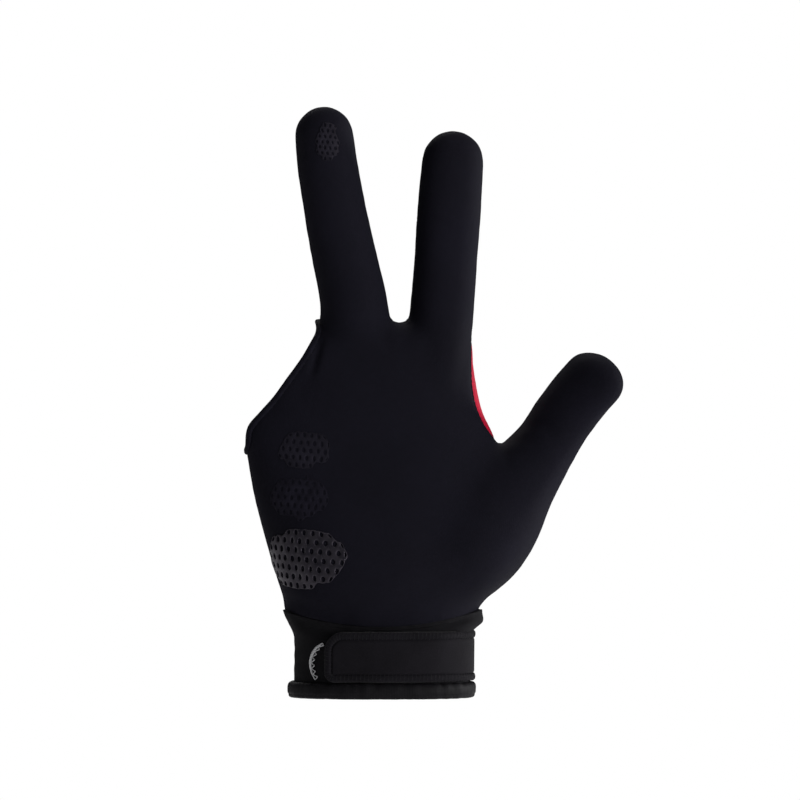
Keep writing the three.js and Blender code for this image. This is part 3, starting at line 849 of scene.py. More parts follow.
class Paint:
    """A material being wired: each call adds a node and gives back its first output."""

    def __init__(self, name, colour, roughness, specular, sheen=0.0):
        self.material = bpy.data.materials.new(name)
        self.material.use_nodes = True
        self.tree = self.material.node_tree
        self.shader = self.tree.nodes["Principled BSDF"]
        self.set(self.shader, "Base Color", (*colour, 1))
        self.set(self.shader, "Roughness", roughness)
        self.set(self.shader, "Specular IOR Level", specular)
        self.set(self.shader, "Sheen Weight", sheen)
        self.set(self.shader, "Sheen Roughness", 0.45)
        self.colour = colour
        self.material.diffuse_color = (*colour, 1)

    def set(self, node, name, value):
        """Sets a node's input, or links another node's output to it."""
        socket = node.inputs[name]
        if isinstance(value, bpy.types.NodeSocket):
            self.tree.links.new(value, socket)
        else:
            socket.default_value = value

    def add(self, kind, output=0, settings=None, **inputs):
        """A node with its settings and inputs, where _ stands for a blank in an input's name."""
        node = self.tree.nodes.new(kind)
        for key, value in (settings or {}).items():
            setattr(node, key, value)
        for key, value in inputs.items():
            self.set(node, key.replace("_", " "), value)
        return node.outputs[output]

    def place(self, where="Object"):
        return self.add("ShaderNodeTexCoord", where)

    def noise(self, coordinates, size, detail=3.0, rough=0.5):
        return self.add("ShaderNodeTexNoise", "Fac", Vector=coordinates, Scale=1 / size, Detail=detail,
                        Roughness=rough)

    def scaled(self, coordinates, scale, turn=0.0):
        return self.add("ShaderNodeMapping", Vector=coordinates, Scale=scale, Rotation=(0, 0, turn))

    def ramp(self, value, low, high, dark, light):
        """Maps a factor between low and high onto dark and light."""
        return self.add("ShaderNodeMapRange", settings={"clamp": True}, Value=value, From_Min=low,
                        From_Max=high, To_Min=dark, To_Max=light)

    def math(self, operation, first, second):
        node = self.tree.nodes.new("ShaderNodeMath")
        node.operation = operation
        self.set(node, 0, first)
        self.set(node, 1, second)
        return node.outputs[0]

    def tint(self, factor, dark, light):
        """The colour, from dark to light times itself as the factor goes from 0 to 1."""
        node = self.tree.nodes.new("ShaderNodeMix")
        node.data_type = "RGBA"
        self.tree.links.new(factor, node.inputs["Factor"])
        node.inputs[6].default_value = (*[c * dark for c in self.colour], 1)
        node.inputs[7].default_value = (*[c * light for c in self.colour], 1)
        self.tree.links.new(node.outputs[2], self.shader.inputs["Base Color"])
        return node.outputs[2]

    def bump(self, height, distance, strength=1.0):
        """Adds a relief to those already wired."""
        node = self.tree.nodes.new("ShaderNodeBump")
        node.inputs["Strength"].default_value = strength
        node.inputs["Distance"].default_value = distance
        self.tree.links.new(height, node.inputs["Height"])
        before = self.shader.inputs["Normal"]
        if before.is_linked:
            self.tree.links.new(before.links[0].from_socket, node.inputs["Normal"])
        self.tree.links.new(node.outputs[0], before)


# A wave texture repeats every 0.314 of its own units at scale 1
WAVE_SCALE = 0.314


def knit_paint(name, colour, roughness, rib, sheen=0.0, specular=0.05):
    """Fine stretch knit: wales along the cloth, a soft change of tone, and lint that scatters light."""
    paint = Paint(name, colour, roughness, specular, sheen)
    cloth = paint.place("UV")
    place = paint.place("Object")
    drift = paint.noise(place, 28 * MM, 3)
    wales = paint.add("ShaderNodeTexWave", "Fac", {"bands_direction": "X", "wave_profile": "SIN"},
                      Vector=cloth, Scale=WAVE_SCALE / rib, Distortion=0.35, Detail=1.0)
    loops = paint.add("ShaderNodeTexVoronoi", "Distance", {"distance": "EUCLIDEAN"},
                      Vector=paint.scaled(cloth, (1.0, 0.62, 1.0)), Scale=1 / (rib * 0.8), Randomness=0.5)
    speck = paint.noise(place, 0.9 * MM, 2)
    tone = paint.math("ADD", paint.math("MULTIPLY", drift, 0.75), paint.math("MULTIPLY", speck, 0.25))
    paint.tint(paint.ramp(tone, 0.32, 0.68, 0.0, 1.0), 0.82, 1.2)
    paint.set(paint.shader, "Roughness", paint.ramp(drift, 0.3, 0.7, roughness - 0.05, roughness + 0.05))
    paint.bump(wales, 0.035 * MM, 0.6)
    paint.bump(loops, 0.03 * MM, 0.5)
    paint.bump(paint.noise(place, 2.6 * MM, 3), 0.05 * MM, 0.5)
    return paint.material


def ribbed_paint(name, colour, roughness, rib, specular=0.08):
    """Elastic with ribs that run along its length, and fine lint."""
    paint = Paint(name, colour, roughness, specular)
    cloth = paint.place("UV")
    place = paint.place("Object")
    ribs = paint.add("ShaderNodeTexWave", "Fac", {"bands_direction": "Y", "wave_profile": "SIN"},
                     Vector=cloth, Scale=WAVE_SCALE / rib, Distortion=0.8, Detail=2.0)
    drift = paint.noise(place, 3 * MM, 3)
    paint.tint(paint.ramp(drift, 0.3, 0.7, 0.0, 1.0), 0.75, 1.3)
    paint.bump(ribs, 0.06 * MM, 0.7)
    paint.bump(paint.noise(place, 0.7 * MM, 2), 0.04 * MM, 0.6)
    return paint.material


def brushed_paint(name, colour, roughness, fluff):
    """Brushed loop cloth: a dense, matt nap with worn patches."""
    paint = Paint(name, colour, roughness, 0.08, 0.03)
    place = paint.place("Object")
    nap = paint.noise(place, fluff, 4, 0.7)
    patch = paint.noise(place, 14 * MM, 3)
    tone = paint.math("ADD", paint.math("MULTIPLY", nap, 0.45), paint.math("MULTIPLY", patch, 0.55))
    paint.tint(paint.ramp(tone, 0.35, 0.65, 0.0, 1.0), 0.7, 1.35)
    loops = paint.add("ShaderNodeTexVoronoi", "Distance", Vector=place, Scale=1 / (fluff * 1.4))
    paint.bump(nap, 0.09 * MM, 0.7)
    paint.bump(loops, 0.06 * MM, 0.6)
    return paint.material


def silicone_paint(glove, name, fade, half_wide, half_high):
    """Printed silicone: satin and uneven. Where the print has faded, it is worn off towards the pad's rim."""
    worn_to = [cloth * 1.12 for cloth in glove.colours.cloth]
    colour = [mixed(fresh, worn, fade) for fresh, worn in zip(glove.colours.grip, worn_to)]
    paint = Paint(name, colour, 0.4, mixed(0.55, 0.06, fade))
    paint.set(paint.shader, "Specular Tint", (0.94, 0.84, 1.0, 1))
    place = paint.place("Object")
    wear = paint.noise(place, 5 * MM, 4, 0.65)
    sheet_place = paint.scaled(paint.place("UV"), (1 / half_wide, 1 / half_high, 1))
    from_middle = paint.add("ShaderNodeVectorMath", "Value", {"operation": "LENGTH"}, Vector=sheet_place)
    kept = paint.ramp(from_middle, 0.3, 1.0, 1.0, mixed(0.8, 0.1, fade))
    paint.tint(paint.math("MULTIPLY", kept, paint.ramp(wear, 0.35, 0.6, 0.0, 1.0)),
               mixed(0.75, 0.88, fade), mixed(1.35, 1.6, fade))
    shine = paint.ramp(wear, 0.35, 0.68, mixed(0.72, 0.85, fade), mixed(0.3, 0.66, fade))
    paint.set(paint.shader, "Roughness", shine)
    paint.bump(paint.noise(place, 0.8 * MM, 2), 0.04 * MM, 0.6)
    return paint.material


def thread_paint(name, colour, twist=0.55 * MM):
    """Twisted sewing thread."""
    paint = Paint(name, colour, 0.65, 0.14)
    cloth = paint.place("UV")
    plies = paint.add("ShaderNodeTexWave", "Fac", {"bands_direction": "DIAGONAL"}, Vector=cloth,
                      Scale=WAVE_SCALE / twist)
    paint.tint(plies, 0.75, 1.15)
    paint.bump(plies, 0.05 * MM, 0.7)
    return paint.material


def tape_paint(glove):
    """Hook tape: rows of small stiff hooks."""
    paint = Paint("tape_hooks", glove.colours.tape, 0.6, 0.35)
    place = paint.place("Object")
    hooks = paint.add("ShaderNodeTexVoronoi", "Distance", Vector=place, Scale=1 / (0.9 * MM), Randomness=0.25)
    paint.tint(hooks, 1.2, 0.6)
    paint.bump(hooks, 0.3 * MM, 0.9)
    return paint.material


def floor_paint():
    """A plain pale studio floor, a little uneven."""
    paint = Paint("pale_floor", (0.96, 0.96, 0.96), 0.9, 0.1)
    paint.tint(paint.ramp(paint.noise(paint.place("Object"), 0.5, 2), 0.3, 0.7, 0.0, 1.0), 0.99, 1.0)
    return paint.material


def keep_paint(name, make):
    """The material of that name, made on first use."""
    return bpy.data.materials.get(name) or make(name)


def stretch_cloth(glove):
    """Black stretch knit of palm and back."""
    return keep_paint("black_knit", lambda name: knit_paint(name, glove.colours.cloth, 0.8, 0.42 * MM))


def edge_elastic(glove):
    """Ribbed elastic of the hem."""
    return keep_paint("ribbed_elastic", lambda name: ribbed_paint(name, glove.colours.edge, 0.62, 0.55 * MM))


def rolled_knit(glove):
    """The palm's cloth, rolled into welts and the opening's edge."""
    return keep_paint("rolled_knit",
                      lambda name: ribbed_paint(name, glove.colours.cloth, 0.75, 0.5 * MM, 0.05))


def black_thread(glove):
    """Black sewing thread."""
    return keep_paint("black_sewing", lambda name: thread_paint(name, glove.colours.thread))


def seam_run(glove, side, only_panel=False):
    """The side seam's path in front or behind, or only its stretch round the red panel."""
    bm = form_copy()
    cut_cuff(bm, glove, 0.0, "high")
    cut_opening(bm, glove, glove.cloth.edge_width)
    edges = cut_side(bm, glove, side, 0.0)
    if only_panel:
        edges = [edge for edge in edges
                 if all(gusset_half(glove, vert.co.x, vert.co.z) > 0.3 * MM for vert in edge.verts)]
    runs = chains(edges)
    bm.free()
    return [(path, closed) for path, closed in runs if len(path) > SHORTEST_RUN]


def stitch(bm, start, end, up, radius):
    """One raised stitch from start to end."""
    middle = (start + end) / 2 + up * radius
    stations = [Station(start - up * radius, up, 0, 0), Station(start, up, radius, radius),
                Station(middle, up, radius, radius), Station(end, up, radius, radius),
                Station(end - up * radius, up, 0, 0)]
    sweep(bm, stations, 6)


class GLOVE_OT_form(bpy.types.Operator):
    """Shape the filled hand's outer skin, which the cloth panels are cut from"""

    bl_idname = "glove.form"
    bl_label = "Shape the form"

    def execute(self, context):
        build_form(context.scene.glove)
        return {"FINISHED"}


class GLOVE_OT_cloth(bpy.types.Operator):
    """Cut the palm and back panels of black stretch cloth"""

    bl_idname = "glove.cloth"
    bl_label = "Cut palm and back"

    def execute(self, context):
        glove = context.scene.glove
        cloth = glove.cloth
        for name, node, side in (("palm_cloth", "palm_panel", -1), ("back_cloth", "back_panel", 1)):
            bm = form_copy()
            cut_cuff(bm, glove, 0.25 * MM, "high")
            cut_opening(bm, glove, cloth.edge_width * 0.7)
            cut_side(bm, glove, side, cloth.seam_gap / 2)
            draw_in_seam(bm, glove, side)
            lay_cloth(bm, glove)
            finish_piece(glove, name, bm, stretch_cloth(glove), (node,), wall=cloth.wall)
        return {"FINISHED"}


class GLOVE_OT_red_panel(bpy.types.Operator):
    """Cut the red side panel between index finger and thumb"""

    bl_idname = "glove.red_panel"
    bl_label = "Cut the red panel"

    def execute(self, context):
        glove = context.scene.glove
        cloth = glove.cloth
        bm = form_copy()
        for side in (-1, 1):
            cut_side(bm, glove, side, -cloth.seam_gap / 2, "low")
        bm.normal_update()
        moves = []
        for vert in bm.verts:
            away = gusset_half(glove, vert.co.x, vert.co.z) - abs(vert.co.y)
            groove = cloth.seam_depth * math.exp(-(max(0.0, away) / cloth.seam_reach) ** 2)
            middle = 0.25 * MM * math.exp(-(vert.co.y / (0.7 * MM)) ** 2)
            rib = 0.22 * MM * math.exp(-((away - 2.2 * MM) / (0.45 * MM)) ** 2)
            moves.append(vert.normal * (-groove - middle - rib))
        move_verts(bm, moves)
        lay_cloth(bm, glove)
        red = knit_paint("crimson_knit", glove.colours.red, 0.6, 0.42 * MM, 0.1)
        finish_piece(glove, "red_side_panel", bm, red, ("web_gusset",), wall=cloth.wall)
        return {"FINISHED"}


class GLOVE_OT_seams(bpy.types.Operator):
    """Lay the welts into the side seams and round the red panel"""

    bl_idname = "glove.seams"
    bl_label = "Sew the side seams"

    def execute(self, context):
        glove = context.scene.glove
        cloth = glove.cloth
        bm = bmesh.new()
        step = 0.7 * MM
        swell_turn = 2 * math.pi * 1.9 / cloth.pucker_pitch
        for path, closed in seam_run(glove, -1) + seam_run(glove, 1, True):
            path = smoothed(resampled(path, step, closed), 3, closed)
            stations = []
            for i, (point, normal) in enumerate(path):
                size = cloth.cord * (1 + 0.16 * math.sin(i * step * swell_turn))
                stations.append(Station(point - normal * (cloth.seam_depth + 0.22 * MM), normal, size, size))
            sweep(bm, stations if closed else rounded_ends(stations), 8, closed)
        bmesh.ops.recalc_face_normals(bm, faces=bm.faces)
        finish_piece(glove, "side_seam_welts", bm, rolled_knit(glove))
        return {"FINISHED"}


class GLOVE_OT_opening_edge(bpy.types.Operator):
    """Roll the elastic edge that the ring and little fingers leave by, with its stitches"""

    bl_idname = "glove.opening_edge"
    bl_label = "Roll the opening's edge"

    def execute(self, context):
        glove = context.scene.glove
        cloth = glove.cloth
        bm = form_copy()
        edges = cut_opening(bm, glove, cloth.edge_width / 2)
        path, closed = chains(edges)[0]
        bm.free()
        path = smoothed(resampled(path, 0.5 * MM, closed), 8, closed)
        foot = min(point.x for point, _ in path)
        stations = []
        for i, (point, normal) in enumerate(path):
            swell = smoothstep(foot + 6 * MM - point.x, 0, 6 * MM)
            ripple = 0.07 * noise.noise(point / (3.2 * MM))
            wide = cloth.edge_width / 2 * (1 + 0.2 * swell + ripple)
            thick = cloth.edge_thickness / 2 * (1 + 0.1 * swell + ripple)
            stations.append(Station(point - normal * (0.35 - 0.15 * swell) * MM, normal, wide, thick))
        bm = bmesh.new()
        sweep(bm, stations, 20, closed, 2.5)
        bmesh.ops.recalc_face_normals(bm, faces=bm.faces)
        finish_piece(glove, "opening_edge_roll", bm, rolled_knit(glove),
                     ("finger_opening_binding",))
        self.sew(glove, stations, closed)
        return {"FINISHED"}

    def sew(self, glove, stations, closed):
        """Short stitches across the roll's inner border."""
        cloth = glove.cloth
        bm = bmesh.new()
        path = resampled([(station.point, station.up) for station in stations], cloth.edge_stitch, closed)
        _, _, out = opening_frame(glove)
        for i, (point, normal) in enumerate(path):
            along = (path[(i + 1) % len(path)][0] - path[i - 1][0]).normalized()
            beside = along.cross(normal).normalized()
            if beside.dot(out) > 0:
                beside = -beside
            lift = normal * (cloth.edge_thickness / 2 - 0.36 * MM)
            start = point + beside * (cloth.edge_width * 0.16) + lift + along * 0.35 * MM
            end = point + beside * (cloth.edge_width * 0.6) + normal * 0.16 * MM - along * 0.35 * MM
            stitch(bm, start, end, normal, cloth.thread)
        bmesh.ops.recalc_face_normals(bm, faces=bm.faces)
        finish_piece(glove, "opening_edge_stitches", bm, black_thread(glove))


def wrist_section(glove, z, growth):
    """The cuff's outline at a height, grown by a distance."""
    cuff = glove.cuff
    rows = smooth_rows([tuple(row) for row in WRIST_ROWS] + [ABOVE_WRIST], 0.02)
    goal = z / cuff.height
    low = max((row for row in rows if row[0] <= goal), key=lambda row: row[0], default=rows[0])
    high = min((row for row in rows if row[0] > goal), key=lambda row: row[0], default=rows[-1])
    t = clamp((goal - low[0]) / max(high[0] - low[0], 1e-9))
    left, right, front, back = (mixed(a, b, t) for a, b in zip(low[1:], high[1:]))
    return Section(0, z, 0, cuff.wrist_width * left + growth, cuff.wrist_width * right + growth,
                   cuff.wrist_depth * front + growth, cuff.wrist_depth * back + growth)


def wrist_path(glove, z, growth, step, start=0.0, end=2 * math.pi):
    """Points and outward normals round the wrist's outline, from one turn to another."""
    section = wrist_section(glove, z, growth)
    roundness = glove.hand.palm_roundness
    fine = 360
    turns = [mixed(start, end, i / fine) for i in range(fine + 1)]
    points = [section_point(section, turn, roundness) for turn in turns]
    closed = abs(end - start - 2 * math.pi) < 1e-6
    if closed:
        points = points[:-1]
    path = []
    for i, point in enumerate(points):
        before = points[i - 1] if closed or i else point
        after = points[(i + 1) % len(points)] if closed or i + 1 < len(points) else point
        along = (after - before).normalized()
        path.append((point, Vector((along.y, -along.x, 0))))
    return resampled(path, step, closed)


class GLOVE_OT_cuff(bpy.types.Operator):
    """Wrap the wrist cuff, with its gathers and its folded top edge"""

    bl_idname = "glove.cuff"
    bl_label = "Wrap the cuff"

    def execute(self, context):
        glove = context.scene.glove
        cuff = glove.cuff
        sides, rows = 260, 56
        low, high = cuff.hem_height - 0.5 * MM, cuff.height * 1.05

        def place(column, row):
            turn = 2 * math.pi * (column % sides) / sides
            z = mixed(low, high, row / rows)
            section = wrist_section(glove, z, cuff.proud)
            point = section_point(section, turn, glove.hand.palm_roundness)
            out = Vector((point.x, point.y * 1.6, 0)).normalized()
            return point + out * self.ripple(glove, point), (column / sides * 0.17, z)
        bm = bmesh.new()
        sheet(bm, sides, rows, place)
        bmesh.ops.recalc_face_normals(bm, faces=bm.faces)
        top = cut_cuff(bm, glove, -0.15 * MM, "low")
        path, closed = chains(top)[0]
        cloth = knit_paint("cuff_knit", glove.colours.cuff, 0.8, 0.6 * MM)
        finish_piece(glove, "cuff_cloth_band", bm, cloth, ("wrist_cuff",), wall=cuff.wall)
        self.edge(glove, path, closed, cloth)
        return {"FINISHED"}

    def ripple(self, glove, point):
        """Gathers next to the hem and the seam, and slack folds beside the strap's end."""
        cuff = glove.cuff
        near_hem = math.exp(-(point.z - cuff.hem_height) / (3 * MM))
        near_seam = math.exp(-max(0.0, cuff_seam(glove, point) - point.z) / (3.5 * MM))
        around = Vector((point.x, point.y, 0)) / (4.2 * MM)
        gather = 0.3 * MM * noise.noise(around) * (near_hem + near_seam)
        slack = 0.35 * MM * noise.noise(Vector((point.x / 9, point.y / 9, point.z / 3.6)) / MM)
        below = cuff_seam(glove, point) - point.z
        front = smoothstep(-point.y, 8 * MM, 15 * MM)
        wide = mixed(1.6, 2.6, smoothstep(-point.x, 0, 14 * MM)) * MM
        tuck = 1.4 * MM * math.exp(-((below - 1.2 * MM) / wide) ** 2) * front
        side = smoothstep(abs(point.x), 22 * MM, 29 * MM)
        lobe = (2.2 if point.x > 0 else 0.9) * MM * side * math.exp(-((below - 4.4 * MM) / (2.6 * MM)) ** 2)
        return gather + slack * smoothstep(point.z, 6 * MM, 12 * MM) - tuck + lobe

    def edge(self, glove, path, closed, cloth):
        """The cuff's folded top edge."""
        path = smoothed(resampled(path, 0.8 * MM, closed), 4, closed)
        stations = []
        for point, normal in path:
            flat = Vector((normal.x, normal.y, 0)).normalized()
            size = (0.5 + 0.12 * noise.noise(point / (4 * MM))) * MM
            middle = point - flat * 0.75 * MM - Vector((0, 0, 0.5 * MM))
            stations.append(Station(middle, flat, size * 1.3, size * 1.1))
        bm = bmesh.new()
        sweep(bm, stations, 12, closed)
        bmesh.ops.recalc_face_normals(bm, faces=bm.faces)
        finish_piece(glove, "cuff_top_fold", bm, cloth)


class GLOVE_OT_hem(bpy.types.Operator):
    """Roll the thick hem round the wrist's mouth"""

    bl_idname = "glove.hem"
    bl_label = "Roll the hem"

    def execute(self, context):
        glove = context.scene.glove
        cuff = glove.cuff
        growth = cuff.hem_proud - cuff.hem_thickness / 2
        path = wrist_path(glove, cuff.hem_height / 2, growth, 0.5 * MM)
        half_high, half_thick = cuff.hem_height / 2, cuff.hem_thickness / 2
        bm = bmesh.new()
        sweep(bm, [Station(point, normal, half_high, half_thick) for point, normal in path], 44, True, 2.7)
        bmesh.ops.recalc_face_normals(bm, faces=bm.faces)
        bm.normal_update()
        moves = []
        for vert in bm.verts:
            point = vert.co
            around = Vector((point.x, point.y, 0))
            pucker = noise.noise(around / cuff.hem_pucker * 1.3)
            upper = smoothstep(point.z, cuff.hem_height * 0.4, cuff.hem_height * 0.9)
            stitched = math.exp(-((point.z - 1.25 * MM) / (0.4 * MM)) ** 2)
            fine = noise.noise(Vector((point.x, point.y, point.z * 0.35)) / (1.1 * MM))
            moves.append(vert.normal * MM * (0.3 * pucker * (0.5 + upper) - 0.22 * stitched + 0.07 * fine))
        move_verts(bm, moves)
        for vert in bm.verts:
            vert.co.z = clamp(vert.co.z, 0.0, cuff.hem_height + 0.3 * MM)
        finish_piece(glove, "hem_roll", bm, edge_elastic(glove), ("cuff_hem",))
        return {"FINISHED"}


class GLOVE_OT_strap(bpy.types.Operator):
    """Wrap the closure strap, with its overlocked border, its hook tape and the light bar tack by its end"""

    bl_idname = "glove.strap"
    bl_label = "Fasten the strap"

    def execute(self, context):
        glove = context.scene.glove
        spine = self.spine(glove)
        self.band(glove, spine)
        self.overlock(glove, spine)
        self.tape(glove)
        self.bar_tack(glove)
        return {"FINISHED"}

    def spine(self, glove):
        """Points and normals from the free end in front, round the thumb's side, to the sewn end behind."""
        strap, cuff = glove.strap, glove.cuff
        growth = cuff.proud + 0.3 * MM
        path = wrist_path(glove, strap.bottom, growth, SPINE_STEP, -math.pi * 0.93, math.pi * 0.9)
        near = [i for i, (point, _) in enumerate(path) if point.y < 0 and point.x >= -strap.reach]
        behind = [i for i, (point, _) in enumerate(path) if point.y > 0 and point.x >= strap.root]
        kept = path[near[0]:behind[-1] + 1]
        spine = []
        for point, normal in kept:
            lift = 0.0
            if point.y < 0:
                lift = strap.stand_off * (1 - smoothstep(point.x, 4 * MM, 28 * MM))
            spine.append((point + normal * lift, normal))
        return resampled(spine, SPINE_STEP, False)

    def ends(self, glove, run):
        """Lower and upper edge of the strap, as distances from its bottom, at a run from its free end."""
        strap = glove.strap

        def corner(radius):
            gone = max(0.0, radius - run)
            return radius - math.sqrt(max(0.0, radius * radius - gone * gone))
        return corner(strap.bottom_corner), strap.height - corner(strap.top_corner)

    def spot(self, glove, spine, run, height, lift=0.0):
        """A point over the strap's inner face, and the way out there."""
        total = SPINE_STEP * (len(spine) - 1)
        place = clamp(run / total) * (len(spine) - 1)
        i = min(int(place), len(spine) - 2)
        t = place - i
        point = spine[i][0].lerp(spine[i + 1][0], t)
        normal = spine[i][1].lerp(spine[i + 1][1], t).normalized()
        wave = 0.3 * MM * noise.noise(Vector((run / (13 * MM), height / (9 * MM), 3.7)))
        top_wave = 0.35 * MM * noise.noise(Vector((run / (8 * MM), 1.3, 0)))
        top_wave *= height / glove.strap.height - 0.5
        climb = Vector((0, 0, glove.strap.bottom + height - point.z + top_wave))
        return point + normal * (lift + wave) + climb, normal

    def edge_distance(self, glove, total, run, height):
        """How far a place on the strap lies from its nearest edge."""
        low, high = self.ends(glove, run)
        strap = glove.strap
        side = min(height - low, high - height)
        to_end = run
        for radius, level in ((strap.bottom_corner, height), (strap.top_corner, strap.height - height)):
            if level < radius and run < radius:
                to_end = radius - math.hypot(radius - run, radius - level)
        return max(0.0, min(side, to_end, total - run))

    def relief(self, glove, away):
        """How thick the strap is, at a distance from its edge: a plump border, a groove, then the flat
        cloth."""
        strap = glove.strap
        rounded = math.sqrt(clamp(1 - (1 - clamp(away / (0.9 * MM))) ** 2))
        plump = 0.28 * MM * math.sin(math.pi * clamp(away / strap.border)) ** 0.7
        groove = 0.42 * MM * math.exp(-((away - strap.border) / (0.35 * MM)) ** 2)
        return strap.thickness * (0.35 + 0.65 * rounded) + plump - groove

    def band(self, glove, spine):
        """The strap's cloth, outer face and inner face in one."""
        total = SPINE_STEP * (len(spine) - 1)
        columns, rows = 330, 66
        across_rows = 2 * rows

        def place(column, row):
            run = total * (column / columns) ** 1.35
            low, high = self.ends(glove, run)
            outer = row <= rows
            height = mixed(low, high, row / rows if outer else (across_rows - row) / rows)
            away = self.edge_distance(glove, total, run, height)
            lift = self.relief(glove, away) if outer else 0.0
            if row in (0, rows, across_rows):
                lift = glove.strap.thickness * 0.2
            point, _ = self.spot(glove, spine, run, height, lift)
            return point, (run, height)
        bm = bmesh.new()
        sheet(bm, columns, across_rows, place)
        ends = [edge for edge in bm.edges if edge.is_boundary]
        bmesh.ops.holes_fill(bm, edges=ends, sides=0)
        bmesh.ops.recalc_face_normals(bm, faces=bm.faces)
        cloth = brushed_paint("brushed_loops", glove.colours.strap, 0.86, 0.5 * MM)
        finish_piece(glove, "closure_strap", bm, cloth, ("strap",))

    def overlock(self, glove, spine):
        """Threads that cross the border, all round the strap."""
        strap = glove.strap
        total = SPINE_STEP * (len(spine) - 1)
        high, top, bottom = strap.height, strap.top_corner, strap.bottom_corner
        # Each place is its run and height, and the way inward as its own run and height
        outline = [(total - 1.5 * MM - i * MM, high, 0, -1) for i in range(int((total - top) / MM) - 1)]
        bends = [(0.0, 1.0)] + quarter_arc(14)
        outline += [(top - top * s, high - top + top * c, s, -c) for s, c in bends]
        outline.append((0, high / 2, 1, 0))
        outline += [(bottom - bottom * c, bottom - bottom * s, c, s) for s, c in bends]
        outline += [(bottom + i * MM, 0, 0, 1) for i in range(1, int((total - bottom) / MM) - 1)]
        flat = [(Vector((run, 0, height)), Vector((inx, 0, inz))) for run, height, inx, inz in outline]
        bm = bmesh.new()
        for i, (edge, inward) in enumerate(resampled(flat, strap.border_stitch, False)):
            lean = Vector((inward.z, 0, -inward.x)) * 0.3 * MM
            points = []
            for k in range(6):
                away = mixed(0.15 * MM, strap.border + 0.1 * MM, k / 5)
                spot = edge + inward * away + lean * (k / 5)
                thick = self.relief(glove, self.edge_distance(glove, total, spot.x, spot.z))
                points.append(self.spot(glove, spine, spot.x, spot.z, thick))
            radius = glove.cloth.thread
            stations = [Station(point, normal, radius, radius) for point, normal in points]
            sweep(bm, rounded_ends(stations, 2), 6)
        bmesh.ops.recalc_face_normals(bm, faces=bm.faces)
        finish_piece(glove, "strap_border_threads", bm, black_thread(glove))

    def tape(self, glove):
        """The hook tape under the strap's end."""
        strap, cuff = glove.strap, glove.cuff
        start = strap.tape_margin - strap.reach
        path = wrist_path(glove, strap.bottom, cuff.proud + 0.75 * MM, 0.5 * MM, -math.pi, 0)
        kept = [pair for pair in path if start <= pair[0].x <= start + strap.tape_length]
        half_high = (strap.height - 2 * strap.tape_margin) / 2
        half_thick = strap.tape_thickness / 2
        middle = Vector((0, 0, strap.tape_margin + half_high))
        stations = [Station(point + middle, normal, half_high, half_thick) for point, normal in kept]
        bm = bmesh.new()
        sweep(bm, rounded_ends(stations, 3), 40, False, 6.0)
        bmesh.ops.recalc_face_normals(bm, faces=bm.faces)
        finish_piece(glove, "hook_tape_patch", bm, tape_paint(glove), ("hook_patch",))

    def bar_tack(self, glove):
        """A curved bar of light zigzag stitches on the cuff, next to the strap's end."""
        cuff = glove.cuff
        rows = smooth_rows([(i, x * MM, z * MM) for i, (x, z) in enumerate(BAR_TACK_ARC)], 0.05)
        path = wrist_path(glove, 12 * MM, cuff.proud, 0.3 * MM, -math.pi, 0)

        def on_cuff(x, z, lift):
            point, normal = min(path, key=lambda pair: abs(pair[0].x - x))
            return Vector((x, point.y, z)) + normal * lift, normal
        flat = [(Vector((x, 0, z)), Vector((0, -1, 0))) for _, x, z in rows]
        even = resampled(flat, 0.25 * MM, False)
        bm = bmesh.new()
        spine = [on_cuff(point.x, point.z, 0.32 * MM) for point, _ in even]
        stations = []
        for i, (point, normal) in enumerate(spine):
            full = math.sin(math.pi * clamp(i / len(spine) * 1.15)) ** 0.7
            stations.append(Station(point, normal, (0.2 + 0.36 * full) * MM, 0.27 * MM))
        sweep(bm, rounded_ends(stations, 3), 12)
        teeth = resampled(flat, 1.0 * MM, False)
        zigzag = []
        for i, (point, _) in enumerate(teeth):
            out, lift = (0.2, 0.3) if i % 2 == 0 else (1.35, 0.22)
            zigzag.append(on_cuff(point.x + out * MM, point.z - 0.15 * MM, lift * MM))
        zigzag = resampled(zigzag, 0.22 * MM, False)
        stations = [Station(point, normal, 0.17 * MM, 0.16 * MM) for point, normal in zigzag]
        sweep(bm, rounded_ends(stations, 2), 8)
        bmesh.ops.recalc_face_normals(bm, faces=bm.faces)
        light = thread_paint("light_sewing", glove.colours.light_thread)
        finish_piece(glove, "bar_tack", bm, light)


